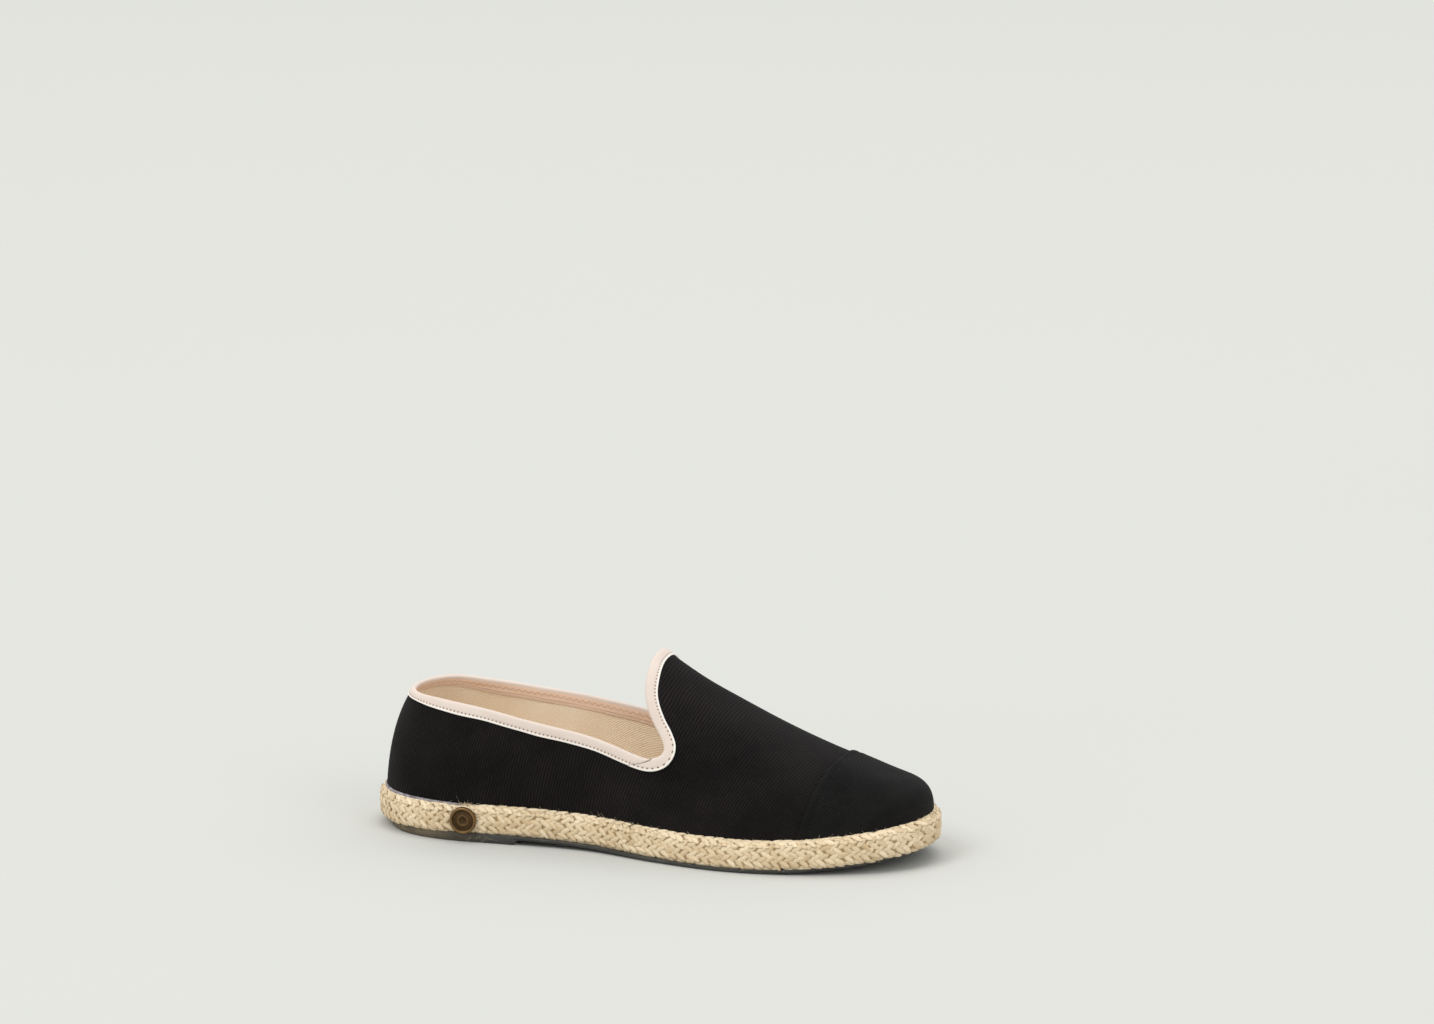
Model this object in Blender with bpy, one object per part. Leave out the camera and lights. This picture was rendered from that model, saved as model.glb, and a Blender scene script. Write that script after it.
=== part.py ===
"""A right-foot espadrille: cotton canvas upper on a braided jute sole with a thin rubber outsole.

Metres, +X to the toe, -Y to the outer (lateral) side, +Z up. The origin is under the middle of the sole.
"""

from collections import namedtuple

import bmesh
import bpy
import numpy as np
from mathutils import Matrix

# Overall sizes
LENGTH = 0.2755
BALL_WIDTH = 0.097
INSTEP_HEIGHT = 0.092

# Sole
JUTE_HEIGHT = 0.0128
RUBBER_SHEET = 0.0021
HEEL_BLOCK = 0.0046
HEEL_BREAST = 0.278
HEEL_SLOPE_START = 0.25
HEEL_SLOPE_END = 0.60
BREAST_RUN = 0.012
HEEL_BEVEL_HEIGHT = 0.0022
HEEL_BEVEL_LENGTH = 0.065
TOE_SPRING = 0.0078
SPRING_START = 0.667
INSOLE_THICKNESS = 0.0025
INSOLE_CLEARANCE = 0.0006

# Upper and what is fixed to it
UPPER_INSET = 0.0034
UPPER_WALL = 0.0016
CAP_THICKNESS = 0.0010
CAP_SIDE = 0.800
CAP_RIDGE = 0.826
CAP_BLEND = 0.10
TAPE_WIDTH = 0.0052
TAPE_HEEL_WIDTH = 0.0036
TAPE_WIDENING = 0.16
TAPE_THICKNESS = 0.0007
TAPE_CLEARANCE = 0.0006
TAPE_INNER_CLEARANCE = 0.0009
TAPE_FOLD_RISE = 0.8
TAPE_FOLD_CORNER = 0.7
TAPE_JOINT = 0.475
SEAT = 0.0003
HEEL_LEAN = 0.0053
HEEL_BULGE = 0.0008
HEEL_REACH = 0.40
SPINE_FRONT = 0.80
SPINE_BACK = 0.26

# Rivet on the lateral wall of the jute
RIVET_ALONG = 0.193
RIVET_DIAMETER = 0.0122
RIVET_THICKNESS = 0.0023

# Rivet head: distance from its axis as a share of its radius, height as a share of its thickness
Turned = namedtuple("Turned", "across out")
RIVET_HEAD = [
    Turned(0.00, 0.00),
    Turned(0.94, 0.00),
    Turned(1.00, 0.35),
    Turned(0.98, 0.75),
    Turned(0.88, 1.00),
    Turned(0.78, 0.85),
    Turned(0.70, 0.50),
    Turned(0.30, 0.60),
    Turned(0.18, 0.45),
    Turned(0.00, 0.40),
]

# Sole outline: half widths as shares of the ball width
Outline = namedtuple("Outline", "along lateral medial")
OUTLINE = [
    Outline(0.00, 0.000, 0.000),
    Outline(0.02, 0.190, 0.190),
    Outline(0.06, 0.305, 0.302),
    Outline(0.14, 0.383, 0.358),
    Outline(0.27, 0.370, 0.345),
    Outline(0.42, 0.370, 0.350),
    Outline(0.55, 0.466, 0.415),
    Outline(0.66, 0.524, 0.466),
    Outline(0.77, 0.512, 0.484),
    Outline(0.87, 0.431, 0.440),
    Outline(0.95, 0.291, 0.310),
    Outline(1.00, 0.000, 0.000),
]

# Ridge of the upper: height as a share of the instep height, side shift as a share of the ball width.
# Behind the throat the ridge is only the form the quarters lean on, and the opening removes it.
Ridge = namedtuple("Ridge", "along height shift")
RIDGE = [
    Ridge(0.00, 0.880, 0.000),
    Ridge(0.14, 0.900, 0.000),
    Ridge(0.26, 1.030, 0.000),
    Ridge(0.36, 1.140, 0.005),
    Ridge(0.44, 1.110, 0.010),
    Ridge(0.505, 0.984, 0.015),
    Ridge(0.575, 0.852, 0.020),
    Ridge(0.64, 0.749, 0.025),
    Ridge(0.71, 0.643, 0.030),
    Ridge(0.78, 0.551, 0.030),
    Ridge(0.85, 0.477, 0.020),
    Ridge(0.92, 0.417, 0.010),
    Ridge(1.00, 0.408, 0.000),
]

# How full a section is across and upward (2 is round, more is boxier)
Fullness = namedtuple("Fullness", "along across upward")
FULLNESS = [
    Fullness(0.00, 2.8, 2.4),
    Fullness(0.14, 2.5, 2.2),
    Fullness(0.30, 2.8, 2.4),
    Fullness(0.42, 2.6, 2.2),
    Fullness(0.53, 2.2, 1.8),
    Fullness(0.68, 2.2, 1.9),
    Fullness(0.82, 2.5, 1.9),
    Fullness(0.93, 3.2, 1.9),
    Fullness(1.00, 4.0, 2.7),
]

# Edge of the opening seen from each side: lengths as shares of the length, heights of the instep height
Rim = namedtuple("Rim", "lateral_along lateral_height medial_along medial_height")
RIM = [
    Rim(-0.030, 0.712, -0.030, 0.712),
    Rim(0.045, 0.708, 0.045, 0.716),
    Rim(0.110, 0.712, 0.110, 0.717),
    Rim(0.167, 0.704, 0.167, 0.698),
    Rim(0.225, 0.684, 0.225, 0.680),
    Rim(0.283, 0.652, 0.283, 0.662),
    Rim(0.341, 0.622, 0.341, 0.644),
    Rim(0.399, 0.594, 0.399, 0.617),
    Rim(0.450, 0.561, 0.452, 0.584),
    Rim(0.494, 0.527, 0.498, 0.550),
    Rim(0.525, 0.512, 0.532, 0.538),
    Rim(0.546, 0.528, 0.555, 0.551),
    Rim(0.553, 0.570, 0.562, 0.590),
    Rim(0.544, 0.626, 0.552, 0.640),
    Rim(0.528, 0.688, 0.533, 0.699),
    Rim(0.514, 0.757, 0.517, 0.765),
    Rim(0.506, 0.826, 0.507, 0.832),
    Rim(0.503, 0.902, 0.503, 0.903),
    Rim(0.503, 1.010, 0.503, 1.010),
    Rim(0.503, 1.250, 0.503, 1.250),
]
RIM_HALF_WIDTH = 0.030
RIM_STEPS = 2
RIM_BEND = (8, 16)
RIM_BEND_STEPS = 5
THROAT_START = 0.40
OPENING_REACH = 1.4
OPENING_TOP = 1.6

# Side wall of each sole layer: inset from the outline, height as a share of the layer
Wall = namedtuple("Wall", "inset height")
JUTE_WALL = [
    Wall(0.0040, 0.00),
    Wall(0.0011, 0.02),
    Wall(0.0002, 0.14),
    Wall(0.0000, 0.38),
    Wall(0.0000, 0.66),
    Wall(0.0004, 0.84),
    Wall(0.0013, 0.95),
    Wall(0.0027, 1.00),
]
RUBBER_WALL = [
    Wall(0.0040, 0.00),
    Wall(0.0012, 0.00),
    Wall(0.0003, 0.30),
    Wall(0.0000, 1.00),
    Wall(0.0030, 1.00),
]
INSOLE_WALL = [
    Wall(0.0030, 0.00),
    Wall(0.0000, 0.00),
    Wall(0.0000, 0.75),
    Wall(0.0006, 1.00),
    Wall(0.0030, 1.00),
]

# Inset of the rubber from the jute's outline, in metres
RubberInset = namedtuple("RubberInset", "along inset")
RUBBER_INSET = [
    RubberInset(0.00, 0.0048),
    RubberInset(0.06, 0.0024),
    RubberInset(0.15, 0.0010),
    RubberInset(0.80, 0.0010),
    RubberInset(0.92, 0.0022),
    RubberInset(1.00, 0.0042),
]

# Mesh densities
SOLE_STEPS = 34
UPPER_STEPS = 54
UPPER_ROWS = 12
CAP_STEPS = 12
QUARTER_STEP = 0.0062
THROAT_STEP = 0.0036
RIM_STATIONS = 90
RIVET_STEPS = 20
FINE_STEPS = 400
SETTLING_ROUNDS = 5
SMALL = 0.002
STRAIGHT_ACROSS = 0.05
HEEL_TURN = 0.6


def column(rows, name):
    return np.array([getattr(row, name) for row in rows])


def through(stops, values, at):
    """Smooth curve through a table's rows, read at the given places."""
    at = np.asarray(at, float)
    spans = np.diff(stops)
    rises = np.diff(values) / spans
    slopes = np.empty(len(stops))
    inner = rises[:-1] * spans[1:] + rises[1:] * spans[:-1]
    slopes[1:-1] = inner / (spans[1:] + spans[:-1])
    slopes[0] = 1.5 * rises[0] - 0.5 * slopes[1]
    slopes[-1] = 1.5 * rises[-1] - 0.5 * slopes[-2]
    row = np.clip(np.searchsorted(stops, at) - 1, 0, len(stops) - 2)
    span = spans[row]
    part = (at - stops[row]) / span
    start = values[row] * (1 + 2 * part) * (1 - part) ** 2
    end = values[row + 1] * part**2 * (3 - 2 * part)
    leave = span * slopes[row] * part * (1 - part) ** 2
    arrive = span * slopes[row + 1] * part**2 * (part - 1)
    return start + end + leave + arrive


def turn_of(along):
    """Angle round the outline, 0 at the heel and pi at the toe, where the sole is this far along."""
    return np.arccos(1 - 2 * np.asarray(along, float))


def along_of(turn):
    return (1 - np.cos(turn)) / 2


def ease(share):
    share = np.clip(share, 0, 1)
    return share * share * (3 - 2 * share)


def half_width(turn):
    """Half width of the sole at a turn, negative turns on the lateral side and positive on the medial."""
    stops = turn_of(column(OUTLINE, "along"))
    lateral = through(stops, column(OUTLINE, "lateral"), np.abs(turn))
    medial = through(stops, column(OUTLINE, "medial"), np.abs(turn))
    return BALL_WIDTH * np.where(turn < 0, lateral, medial)


def outline(turn, inset=0.0):
    """Plan point of the sole's edge moved inward by the inset."""
    turn = np.asarray(turn, float)

    def edge(at):
        at = (at + np.pi) % (2 * np.pi) - np.pi
        return LENGTH * along_of(at), np.sign(at) * half_width(at)

    x, y = edge(turn)
    x_next, y_next = edge(turn + SMALL)
    x_last, y_last = edge(turn - SMALL)
    run_x = x_next - x_last
    run_y = y_next - y_last
    run = np.hypot(run_x, run_y)
    return x + inset * run_y / run, y - inset * run_x / run


def upper_inset(turn):
    """Inset of the upper from the sole's edge, larger under the toe cap by what the cap adds."""
    under_cap = ease((along_of(turn) - CAP_SIDE) / CAP_BLEND + 0.5)
    return UPPER_INSET + (SEAT + CAP_THICKNESS) * under_cap


def toe_spring(x):
    start = SPRING_START * LENGTH
    share = np.clip((x - start) / (LENGTH - start), 0, None)
    return TOE_SPRING * share**2


def jute_bottom(x):
    """Height of the line where rubber and jute meet."""
    slope = ease((x / LENGTH - HEEL_SLOPE_START) / (HEEL_SLOPE_END - HEEL_SLOPE_START))
    return HEEL_BLOCK + (RUBBER_SHEET - HEEL_BLOCK) * slope + toe_spring(x)


def jute_top(x):
    return jute_bottom(x) + JUTE_HEIGHT


def rubber_bottom(x):
    """Floor under the heel block, then the underside of the thin sheet."""
    bevel = np.clip(1 - x / (HEEL_BEVEL_LENGTH * LENGTH), 0, 1)
    heel = HEEL_BEVEL_HEIGHT * bevel**2
    sheet = jute_bottom(x) - RUBBER_SHEET
    past = ease((x / LENGTH - HEEL_BREAST) / BREAST_RUN)
    return heel + (sheet - heel) * past


def spine(x):
    """Where the sections of the upper are centred: the sole's own place, eased to a stop at both ends."""
    back = SPINE_BACK * LENGTH
    front = SPINE_FRONT * LENGTH
    behind = np.clip(back - x, 0, None)
    ahead = np.clip(x - front, 0, None)
    return x + behind**2 / (2 * back) - ahead**2 / (2 * (LENGTH - front))


def ridge_height(x):
    return INSTEP_HEIGHT * through(column(RIDGE, "along"), column(RIDGE, "height"), x / LENGTH)


def form(turn, rise):
    """Point of the upper's outside, rise 0 at the sole and 1 at the ridge."""
    turn = np.asarray(turn, float)
    rise = np.asarray(rise, float)
    edge_x, edge_y = outline(turn, upper_inset(turn))
    along = along_of(turn)
    centre_x = spine(LENGTH * along)
    shift = through(column(RIDGE, "along"), column(RIDGE, "shift"), centre_x / LENGTH)
    centre_y = BALL_WIDTH * shift
    across = through(column(FULLNESS, "along"), column(FULLNESS, "across"), along)
    upward = through(column(FULLNESS, "along"), column(FULLNESS, "upward"), along)
    cosine = np.cos(rise * np.pi / 2)
    sine = np.sin(rise * np.pi / 2)
    reach = np.sign(cosine) * np.abs(cosine) ** (2 / across)
    lift = np.sign(sine) * np.abs(sine) ** (2 / upward)
    x = centre_x + reach * (edge_x - centre_x)
    y = centre_y + reach * (edge_y - centre_y)
    base = jute_top(x) + SEAT
    height = (ridge_height(x) - base) * lift
    lean = np.clip(1 - along / HEEL_REACH, 0, 1) ** 2
    up = height / (INSTEP_HEIGHT / 2)
    x = x + lean * (HEEL_LEAN * up - 4 * HEEL_BULGE * up * (1 - up))
    return np.stack([x, y, base + height], axis=-1)


def skin(turn, rise, offset):
    """Point of the form moved outward by the offset along its normal."""
    turn, rise = np.broadcast_arrays(np.asarray(turn, float), np.asarray(rise, float))
    point = form(turn, rise)
    round_it = form(turn + SMALL, rise) - form(turn - SMALL, rise)
    up_it = form(turn, rise + SMALL) - form(turn, rise - SMALL)
    normal = np.cross(up_it, round_it)
    slope = (ridge_height(point[..., 0] + 0.001) - ridge_height(point[..., 0] - 0.001)) / 0.002
    top = np.stack([-slope, np.zeros_like(slope), np.ones_like(slope)], axis=-1)
    normal = np.where((rise > 0.999)[..., None], top, normal)
    normal = normal / np.linalg.norm(normal, axis=-1, keepdims=True)
    return point + offset * normal


def rim_curve():
    """Two edges of the opening seen from the side, as smooth point rows: lateral and medial."""
    rows = np.arange(len(RIM), dtype=float)
    start, end = RIM_BEND
    back = np.linspace(0, start, start * RIM_STEPS, endpoint=False)
    bend = np.linspace(start, end, (end - start) * RIM_BEND_STEPS, endpoint=False)
    up = np.linspace(end, len(RIM) - 1, (len(RIM) - 1 - end) * RIM_STEPS + 1)
    at = np.concatenate([back, bend, up])
    curves = []
    for side in ("lateral", "medial"):
        x = LENGTH * through(rows, column(RIM, side + "_along"), at)
        z = INSTEP_HEIGHT * through(rows, column(RIM, side + "_height"), at)
        curves.append(np.stack([x, z], axis=1))
    return curves


def crossing(values, at):
    """Place where a row of values first rises through zero."""
    index = int(np.argmax(values > 0))
    share = values[index - 1] / (values[index - 1] - values[index])
    return at[index - 1] + (at[index] - at[index - 1]) * share


def rim_on_form(side, stations=RIM_STATIONS):
    """(turn, rise) pairs along the opening from the heel to the ridge, on one side (-1 or 1)."""
    lateral, medial = rim_curve()
    rises = np.linspace(0, 1, FINE_STEPS)
    lowest = int(np.argmin(lateral[:, 1]))
    pairs = []
    for turn in np.linspace(0, turn_of(THROAT_START), stations):
        x, y, z = form(side * turn, rises).T
        share = 0.5 + y / (2 * RIM_HALF_WIDTH)
        lateral_z = np.interp(x, lateral[: lowest + 1, 0], lateral[: lowest + 1, 1])
        medial_z = np.interp(x, medial[: lowest + 1, 0], medial[: lowest + 1, 1])
        edge = lateral_z * (1 - share) + medial_z * share
        pairs.append((side * turn, crossing(z - edge, rises)))
    rows = np.arange(len(lateral), dtype=float)
    start = crossing(lateral[: lowest + 1, 0] - THROAT_START * LENGTH, rows[: lowest + 1])
    middle = (lateral + medial) / 2
    over = middle[lowest:, 1] - ridge_height(middle[lowest:, 0])
    end = crossing(over, rows[lowest:])
    for row in np.linspace(start, end, stations)[1:]:
        y = side * RIM_HALF_WIDTH
        ahead = 0.0
        for _ in range(SETTLING_ROUNDS):
            share = 0.5 + y / (2 * RIM_HALF_WIDTH)
            edge = lateral * (1 - share) + medial * share
            x = np.interp(row, rows, edge[:, 0])
            z = np.interp(row, rows, edge[:, 1])
            turn = side * turn_of((x + ahead) / LENGTH)
            points = form(turn, rises)
            rise = crossing(points[:, 2] - z, rises) if row < end else 1.0
            y = np.interp(rise, rises, points[:, 1])
            ahead = ahead + x - np.interp(rise, rises, points[:, 0])
        pairs.append((turn, rise))
    return np.array(pairs)


def spaced(pairs, step):
    """The same line on the form with its (turn, rise) pairs an even step apart."""
    pairs = np.array(pairs)
    points = form(pairs[:, 0], pairs[:, 1])
    run = np.concatenate([[0.0], np.cumsum(np.linalg.norm(np.diff(points, axis=0), axis=1))])
    places = np.linspace(0, run[-1], int(run[-1] / step) + 2)
    return np.stack([np.interp(places, run, pairs[:, part]) for part in (0, 1)], axis=1)


def new_object(name, mesh_data, material):
    mesh = bpy.data.meshes.new(name)
    mesh_data.to_mesh(mesh)
    mesh_data.free()
    mesh.materials.append(material)
    thing = bpy.data.objects.new(name, mesh)
    bpy.context.scene.collection.objects.link(thing)
    for face in mesh.polygons:
        face.use_smooth = True
    return thing


def faces_between(mesh, rows, closed):
    """Quads between neighbouring rows of vertices, each row closed into a ring or left open."""
    for first, second in zip(rows[:-1], rows[1:]):
        count = len(first)
        for index in range(count if closed else count - 1):
            after = (index + 1) % count
            corners = [first[index], first[after], second[after], second[index]]
            unique = list(dict.fromkeys(corners))
            if len(unique) > 2:
                mesh.faces.new(unique)


def turn_outward(mesh):
    bmesh.ops.recalc_face_normals(mesh, faces=mesh.faces)
    if mesh.calc_volume(signed=True) < 0:
        bmesh.ops.reverse_faces(mesh, faces=mesh.faces)


def finish(mesh):
    """Joins doubled points and turns all faces outward."""
    bmesh.ops.remove_doubles(mesh, verts=mesh.verts, dist=0.00001)
    bmesh.ops.dissolve_degenerate(mesh, edges=mesh.edges, dist=0.000001)
    turn_outward(mesh)


def principled(name, colour, roughness, metallic=0.0):
    material = bpy.data.materials.new(name)
    material.use_nodes = True
    shader = material.node_tree.nodes["Principled BSDF"]
    shader.inputs["Base Color"].default_value = (*colour, 1)
    shader.inputs["Roughness"].default_value = roughness
    shader.inputs["Metallic"].default_value = metallic
    return material


def sole_layer(name, walls, bottom, top, inset, material, extra_stops=()):
    """Slab between two height functions, with a side wall that follows the table."""
    turns = np.union1d(np.linspace(0, np.pi, SOLE_STEPS), turn_of(extra_stops))
    mesh = bmesh.new()
    rings = []
    for side in (-1, 1):
        rows = []
        for wall in walls:
            x, y = outline(side * turns, inset(turns) + wall.inset)
            z = bottom(x) + (top(x) - bottom(x)) * wall.height
            y[[0, -1]] = 0.0
            rows.append([mesh.verts.new(point) for point in zip(x, y, z)])
        faces_between(mesh, rows, closed=False)
        rings.append(rows)
    faces_between(mesh, [rings[0][0], rings[1][0]], closed=False)
    faces_between(mesh, [rings[0][-1], rings[1][-1]], closed=False)
    finish(mesh)
    return new_object(name, mesh, material)


def rubber_inset(turns):
    return through(column(RUBBER_INSET, "along"), column(RUBBER_INSET, "inset"), along_of(turns))


def build_outsole(material):
    breast = (HEEL_BREAST, HEEL_BREAST + BREAST_RUN / 2, HEEL_BREAST + BREAST_RUN)
    return sole_layer(
        "outsole",
        RUBBER_WALL,
        rubber_bottom,
        lambda x: jute_bottom(x) - SEAT / 2,
        rubber_inset,
        material,
        breast,
    )


def build_jute_sole(material):
    return sole_layer(
        "jute_sole", JUTE_WALL, lambda x: jute_bottom(x) + SEAT / 2, jute_top, np.zeros_like, material
    )


def build_insole(material):
    return sole_layer(
        "insole",
        INSOLE_WALL,
        lambda x: jute_top(x) + SEAT,
        lambda x: jute_top(x) + SEAT + INSOLE_THICKNESS,
        lambda turns: upper_inset(turns) + UPPER_WALL + INSOLE_CLEARANCE,
        material,
    )


def dome_rows(mesh, turns, rises, offset):
    """Vertex rows of the form, each from the lateral edge over the ridge to the medial edge."""
    rows = []
    for turn in turns:
        lateral = skin(-turn, rises, offset)
        medial = skin(turn, rises[::-1], offset)
        points = np.concatenate([lateral, medial[1:]])
        rows.append([mesh.verts.new(point) for point in points])
    return rows


def build_upper(material):
    """Hollow shell of the whole form, then the opening is taken out of it."""
    turns = np.linspace(0, np.pi, UPPER_STEPS)
    rises = np.linspace(0, 1, UPPER_ROWS + 1)
    mesh = bmesh.new()
    outer = dome_rows(mesh, turns, rises, 0.0)
    inner = dome_rows(mesh, turns, rises, -UPPER_WALL)
    faces_between(mesh, outer, closed=False)
    faces_between(mesh, inner, closed=False)
    for end in (0, -1):
        faces_between(mesh, [[row[end] for row in outer], [row[end] for row in inner]], closed=False)
    finish(mesh)
    bmesh.ops.triangulate(mesh, faces=mesh.faces)
    upper = new_object("upper", mesh, material)
    cut = upper.modifiers.new("opening", "BOOLEAN")
    cut.operation = "DIFFERENCE"
    cut.solver = "EXACT"
    cut.object = build_opening()
    return upper


def build_opening():
    """Tool for the opening, ruled between the edge seen from the lateral and from the medial side."""
    lateral, medial = rim_curve()
    mesh = bmesh.new()
    rings = []
    for reach in (-OPENING_REACH, OPENING_REACH):
        share = 0.5 + reach / 2
        edge = lateral * (1 - share) + medial * share
        top = INSTEP_HEIGHT * OPENING_TOP
        points = [(x, reach * RIM_HALF_WIDTH, z) for x, z in edge]
        points.append((edge[-1][0], reach * RIM_HALF_WIDTH, top))
        points.append((edge[0][0], reach * RIM_HALF_WIDTH, top))
        ring = [mesh.verts.new(point) for point in points]
        mesh.faces.new(ring)
        rings.append(ring)
    faces_between(mesh, rings, closed=True)
    bmesh.ops.triangulate(mesh, faces=mesh.faces)
    turn_outward(mesh)
    mesh_data = bpy.data.meshes.new("opening_tool")
    mesh.to_mesh(mesh_data)
    mesh.free()
    tool = bpy.data.objects.new("opening_tool", mesh_data)
    bpy.context.scene.collection.objects.link(tool)
    tool.hide_render = True
    tool.display_type = "WIRE"
    return tool


def cap_start(rise):
    """Turn at which the toe cap begins on this row, further forward on the ridge than at the sole."""
    place = LENGTH * (CAP_SIDE + (CAP_RIDGE - CAP_SIDE) * np.sin(rise * np.pi / 2))
    turns = np.linspace(0, np.pi, FINE_STEPS)
    return crossing(form(turns, rise)[:, 0] - place, turns)


def build_toe_cap(material):
    rises = np.linspace(0, 1, UPPER_ROWS + 1)
    starts = np.array([cap_start(rise) for rise in rises])
    mesh = bmesh.new()
    layers = []
    for offset in (SEAT + CAP_THICKNESS, SEAT):
        rows = []
        for share in np.linspace(0, 1, CAP_STEPS):
            turns = starts + (np.pi - starts) * share
            lateral = skin(-turns, rises, offset)
            medial = skin(turns[::-1], rises[::-1], offset)
            points = np.concatenate([lateral, medial[1:]])
            rows.append([mesh.verts.new(point) for point in points])
        faces_between(mesh, rows, closed=False)
        layers.append(rows)
    outer, inner = layers
    for end in (0, -1):
        faces_between(mesh, [[row[end] for row in outer], [row[end] for row in inner]], closed=False)
    faces_between(mesh, [outer[0], inner[0]], closed=False)
    finish(mesh)
    return new_object("toe_cap", mesh, material)


def fold_profile():
    """Section of the folded tape: (share of its width below the rim, offset from the upper's outside)."""
    near = TAPE_CLEARANCE
    far = TAPE_CLEARANCE + TAPE_THICKNESS
    inner_near = -UPPER_WALL - TAPE_INNER_CLEARANCE
    inner_far = inner_near - TAPE_THICKNESS
    top = -far * TAPE_FOLD_RISE / TAPE_WIDTH
    return [
        (1.0, far),
        (0.0, far),
        (top, far * (1 - TAPE_FOLD_CORNER)),
        (top, inner_far + far * TAPE_FOLD_CORNER),
        (0.0, inner_far),
        (1.0, inner_far),
        (1.0, inner_near),
        (0.5, inner_near),
        (0.0, inner_near),
        (-near / TAPE_WIDTH, -UPPER_WALL / 2),
        (0.0, near),
        (0.5, near),
        (1.0, near),
    ]


def move_on_form(turn, rise, wanted):
    """(turn, rise) of the points of the form nearest to these moved by the wanted vectors."""
    goal = form(turn, rise) + wanted
    for _ in range(SETTLING_ROUNDS):
        left = goal - form(turn, rise)
        by_turn = (form(turn + SMALL, rise) - form(turn - SMALL, rise)) / (2 * SMALL)
        by_rise = (form(turn, rise + SMALL) - form(turn, rise - SMALL)) / (2 * SMALL)
        both = (by_turn * by_rise).sum(-1)
        turn_size = (by_turn**2).sum(-1)
        rise_size = (by_rise**2).sum(-1)
        turn_share = (left * by_turn).sum(-1)
        rise_share = (left * by_rise).sum(-1)
        spread = turn_size * rise_size - both**2
        turn = turn + (turn_share * rise_size - rise_share * both) / spread
        rise = rise + (rise_share * turn_size - turn_share * both) / spread
    return turn, rise


def build_tape(name, pairs, material):
    """Folded tape swept along the opening, its section square to the run and leaning as the edge is cut."""
    turn, rise = np.array(pairs).T
    edge = form(turn, rise)
    run = np.gradient(edge, axis=0)
    run = run / np.linalg.norm(run, axis=1, keepdims=True)
    normal = skin(turn, rise, 1.0) - edge
    down = np.cross(normal, run)
    down = down / np.linalg.norm(down, axis=1, keepdims=True)
    seen = run * (1, 0, 1)
    seen[np.linalg.norm(seen, axis=1) < STRAIGHT_ACROSS] = (0, 0, 1)
    seen[np.abs(turn) < HEEL_TURN] = (1, 0, 0)
    cut = np.cross(np.cross((0, 1, 0), seen), run)
    lean = ((cut * down).sum(1) / (cut * normal).sum(1))[:, None]
    widening = ease(along_of(turn) / TAPE_WIDENING)[:, None]
    width = TAPE_HEEL_WIDTH + (TAPE_WIDTH - TAPE_HEEL_WIDTH) * widening
    columns = []
    for share, offset in fold_profile():
        below = share * (width if share > 0 else TAPE_WIDTH)
        at_turn, at_rise = move_on_form(turn, rise, down * (below + offset * lean))
        columns.append(skin(at_turn, at_rise, offset))
    mesh = bmesh.new()
    rings = [[mesh.verts.new(point) for point in ring] for ring in np.stack(columns, axis=1)]
    faces_between(mesh, rings, closed=True)
    mesh.faces.new(rings[0])
    mesh.faces.new(rings[-1])
    turn_outward(mesh)
    return new_object(name, mesh, material)


def parted_opening(side):
    """(turn, rise) pairs of one side's opening, parted where its two tapes meet: quarter and throat."""
    fine = rim_on_form(side)
    straight = fine[:RIM_STATIONS]
    turns = np.linspace(0, np.pi, UPPER_STEPS)
    turns = turns[turns < turn_of(THROAT_START)]
    rises = np.interp(turns, np.abs(straight[:, 0]), straight[:, 1])
    pairs = np.stack([side * turns, rises], axis=1)
    ahead_of_waist = fine[np.abs(fine[:, 0]) > turns[-1]]
    pairs = np.concatenate([pairs, spaced(ahead_of_waist, QUARTER_STEP)])
    x = form(pairs[:, 0], pairs[:, 1])[:, 0]
    joint = int(np.argmax(x > TAPE_JOINT * LENGTH))
    back = pairs[joint - 1]
    ahead = pairs[joint]
    share = (TAPE_JOINT * LENGTH - x[joint - 1]) / (x[joint] - x[joint - 1])
    half_gap = SEAT / 2 / QUARTER_STEP
    quarter_end = back + (ahead - back) * (share - half_gap)
    throat_end = back + (ahead - back) * (share + half_gap)
    quarter = np.concatenate([pairs[:joint], [quarter_end]])
    throat = np.concatenate([[throat_end], pairs[joint:]])
    return quarter, spaced(throat, THROAT_STEP)


def build_bindings(material):
    """One tape round the quarters and one round the throat, their ends a seat apart."""
    lateral_quarter, lateral_throat = parted_opening(-1)
    medial_quarter, medial_throat = parted_opening(1)
    ridge = np.abs(lateral_throat[-1:])
    quarters = np.concatenate([lateral_quarter[::-1], medial_quarter[1:]])
    throats = np.concatenate([medial_throat[:-1], ridge, lateral_throat[-2::-1]])
    build_tape("topline_binding", quarters, material)
    build_tape("throat_binding", throats, material)


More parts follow.
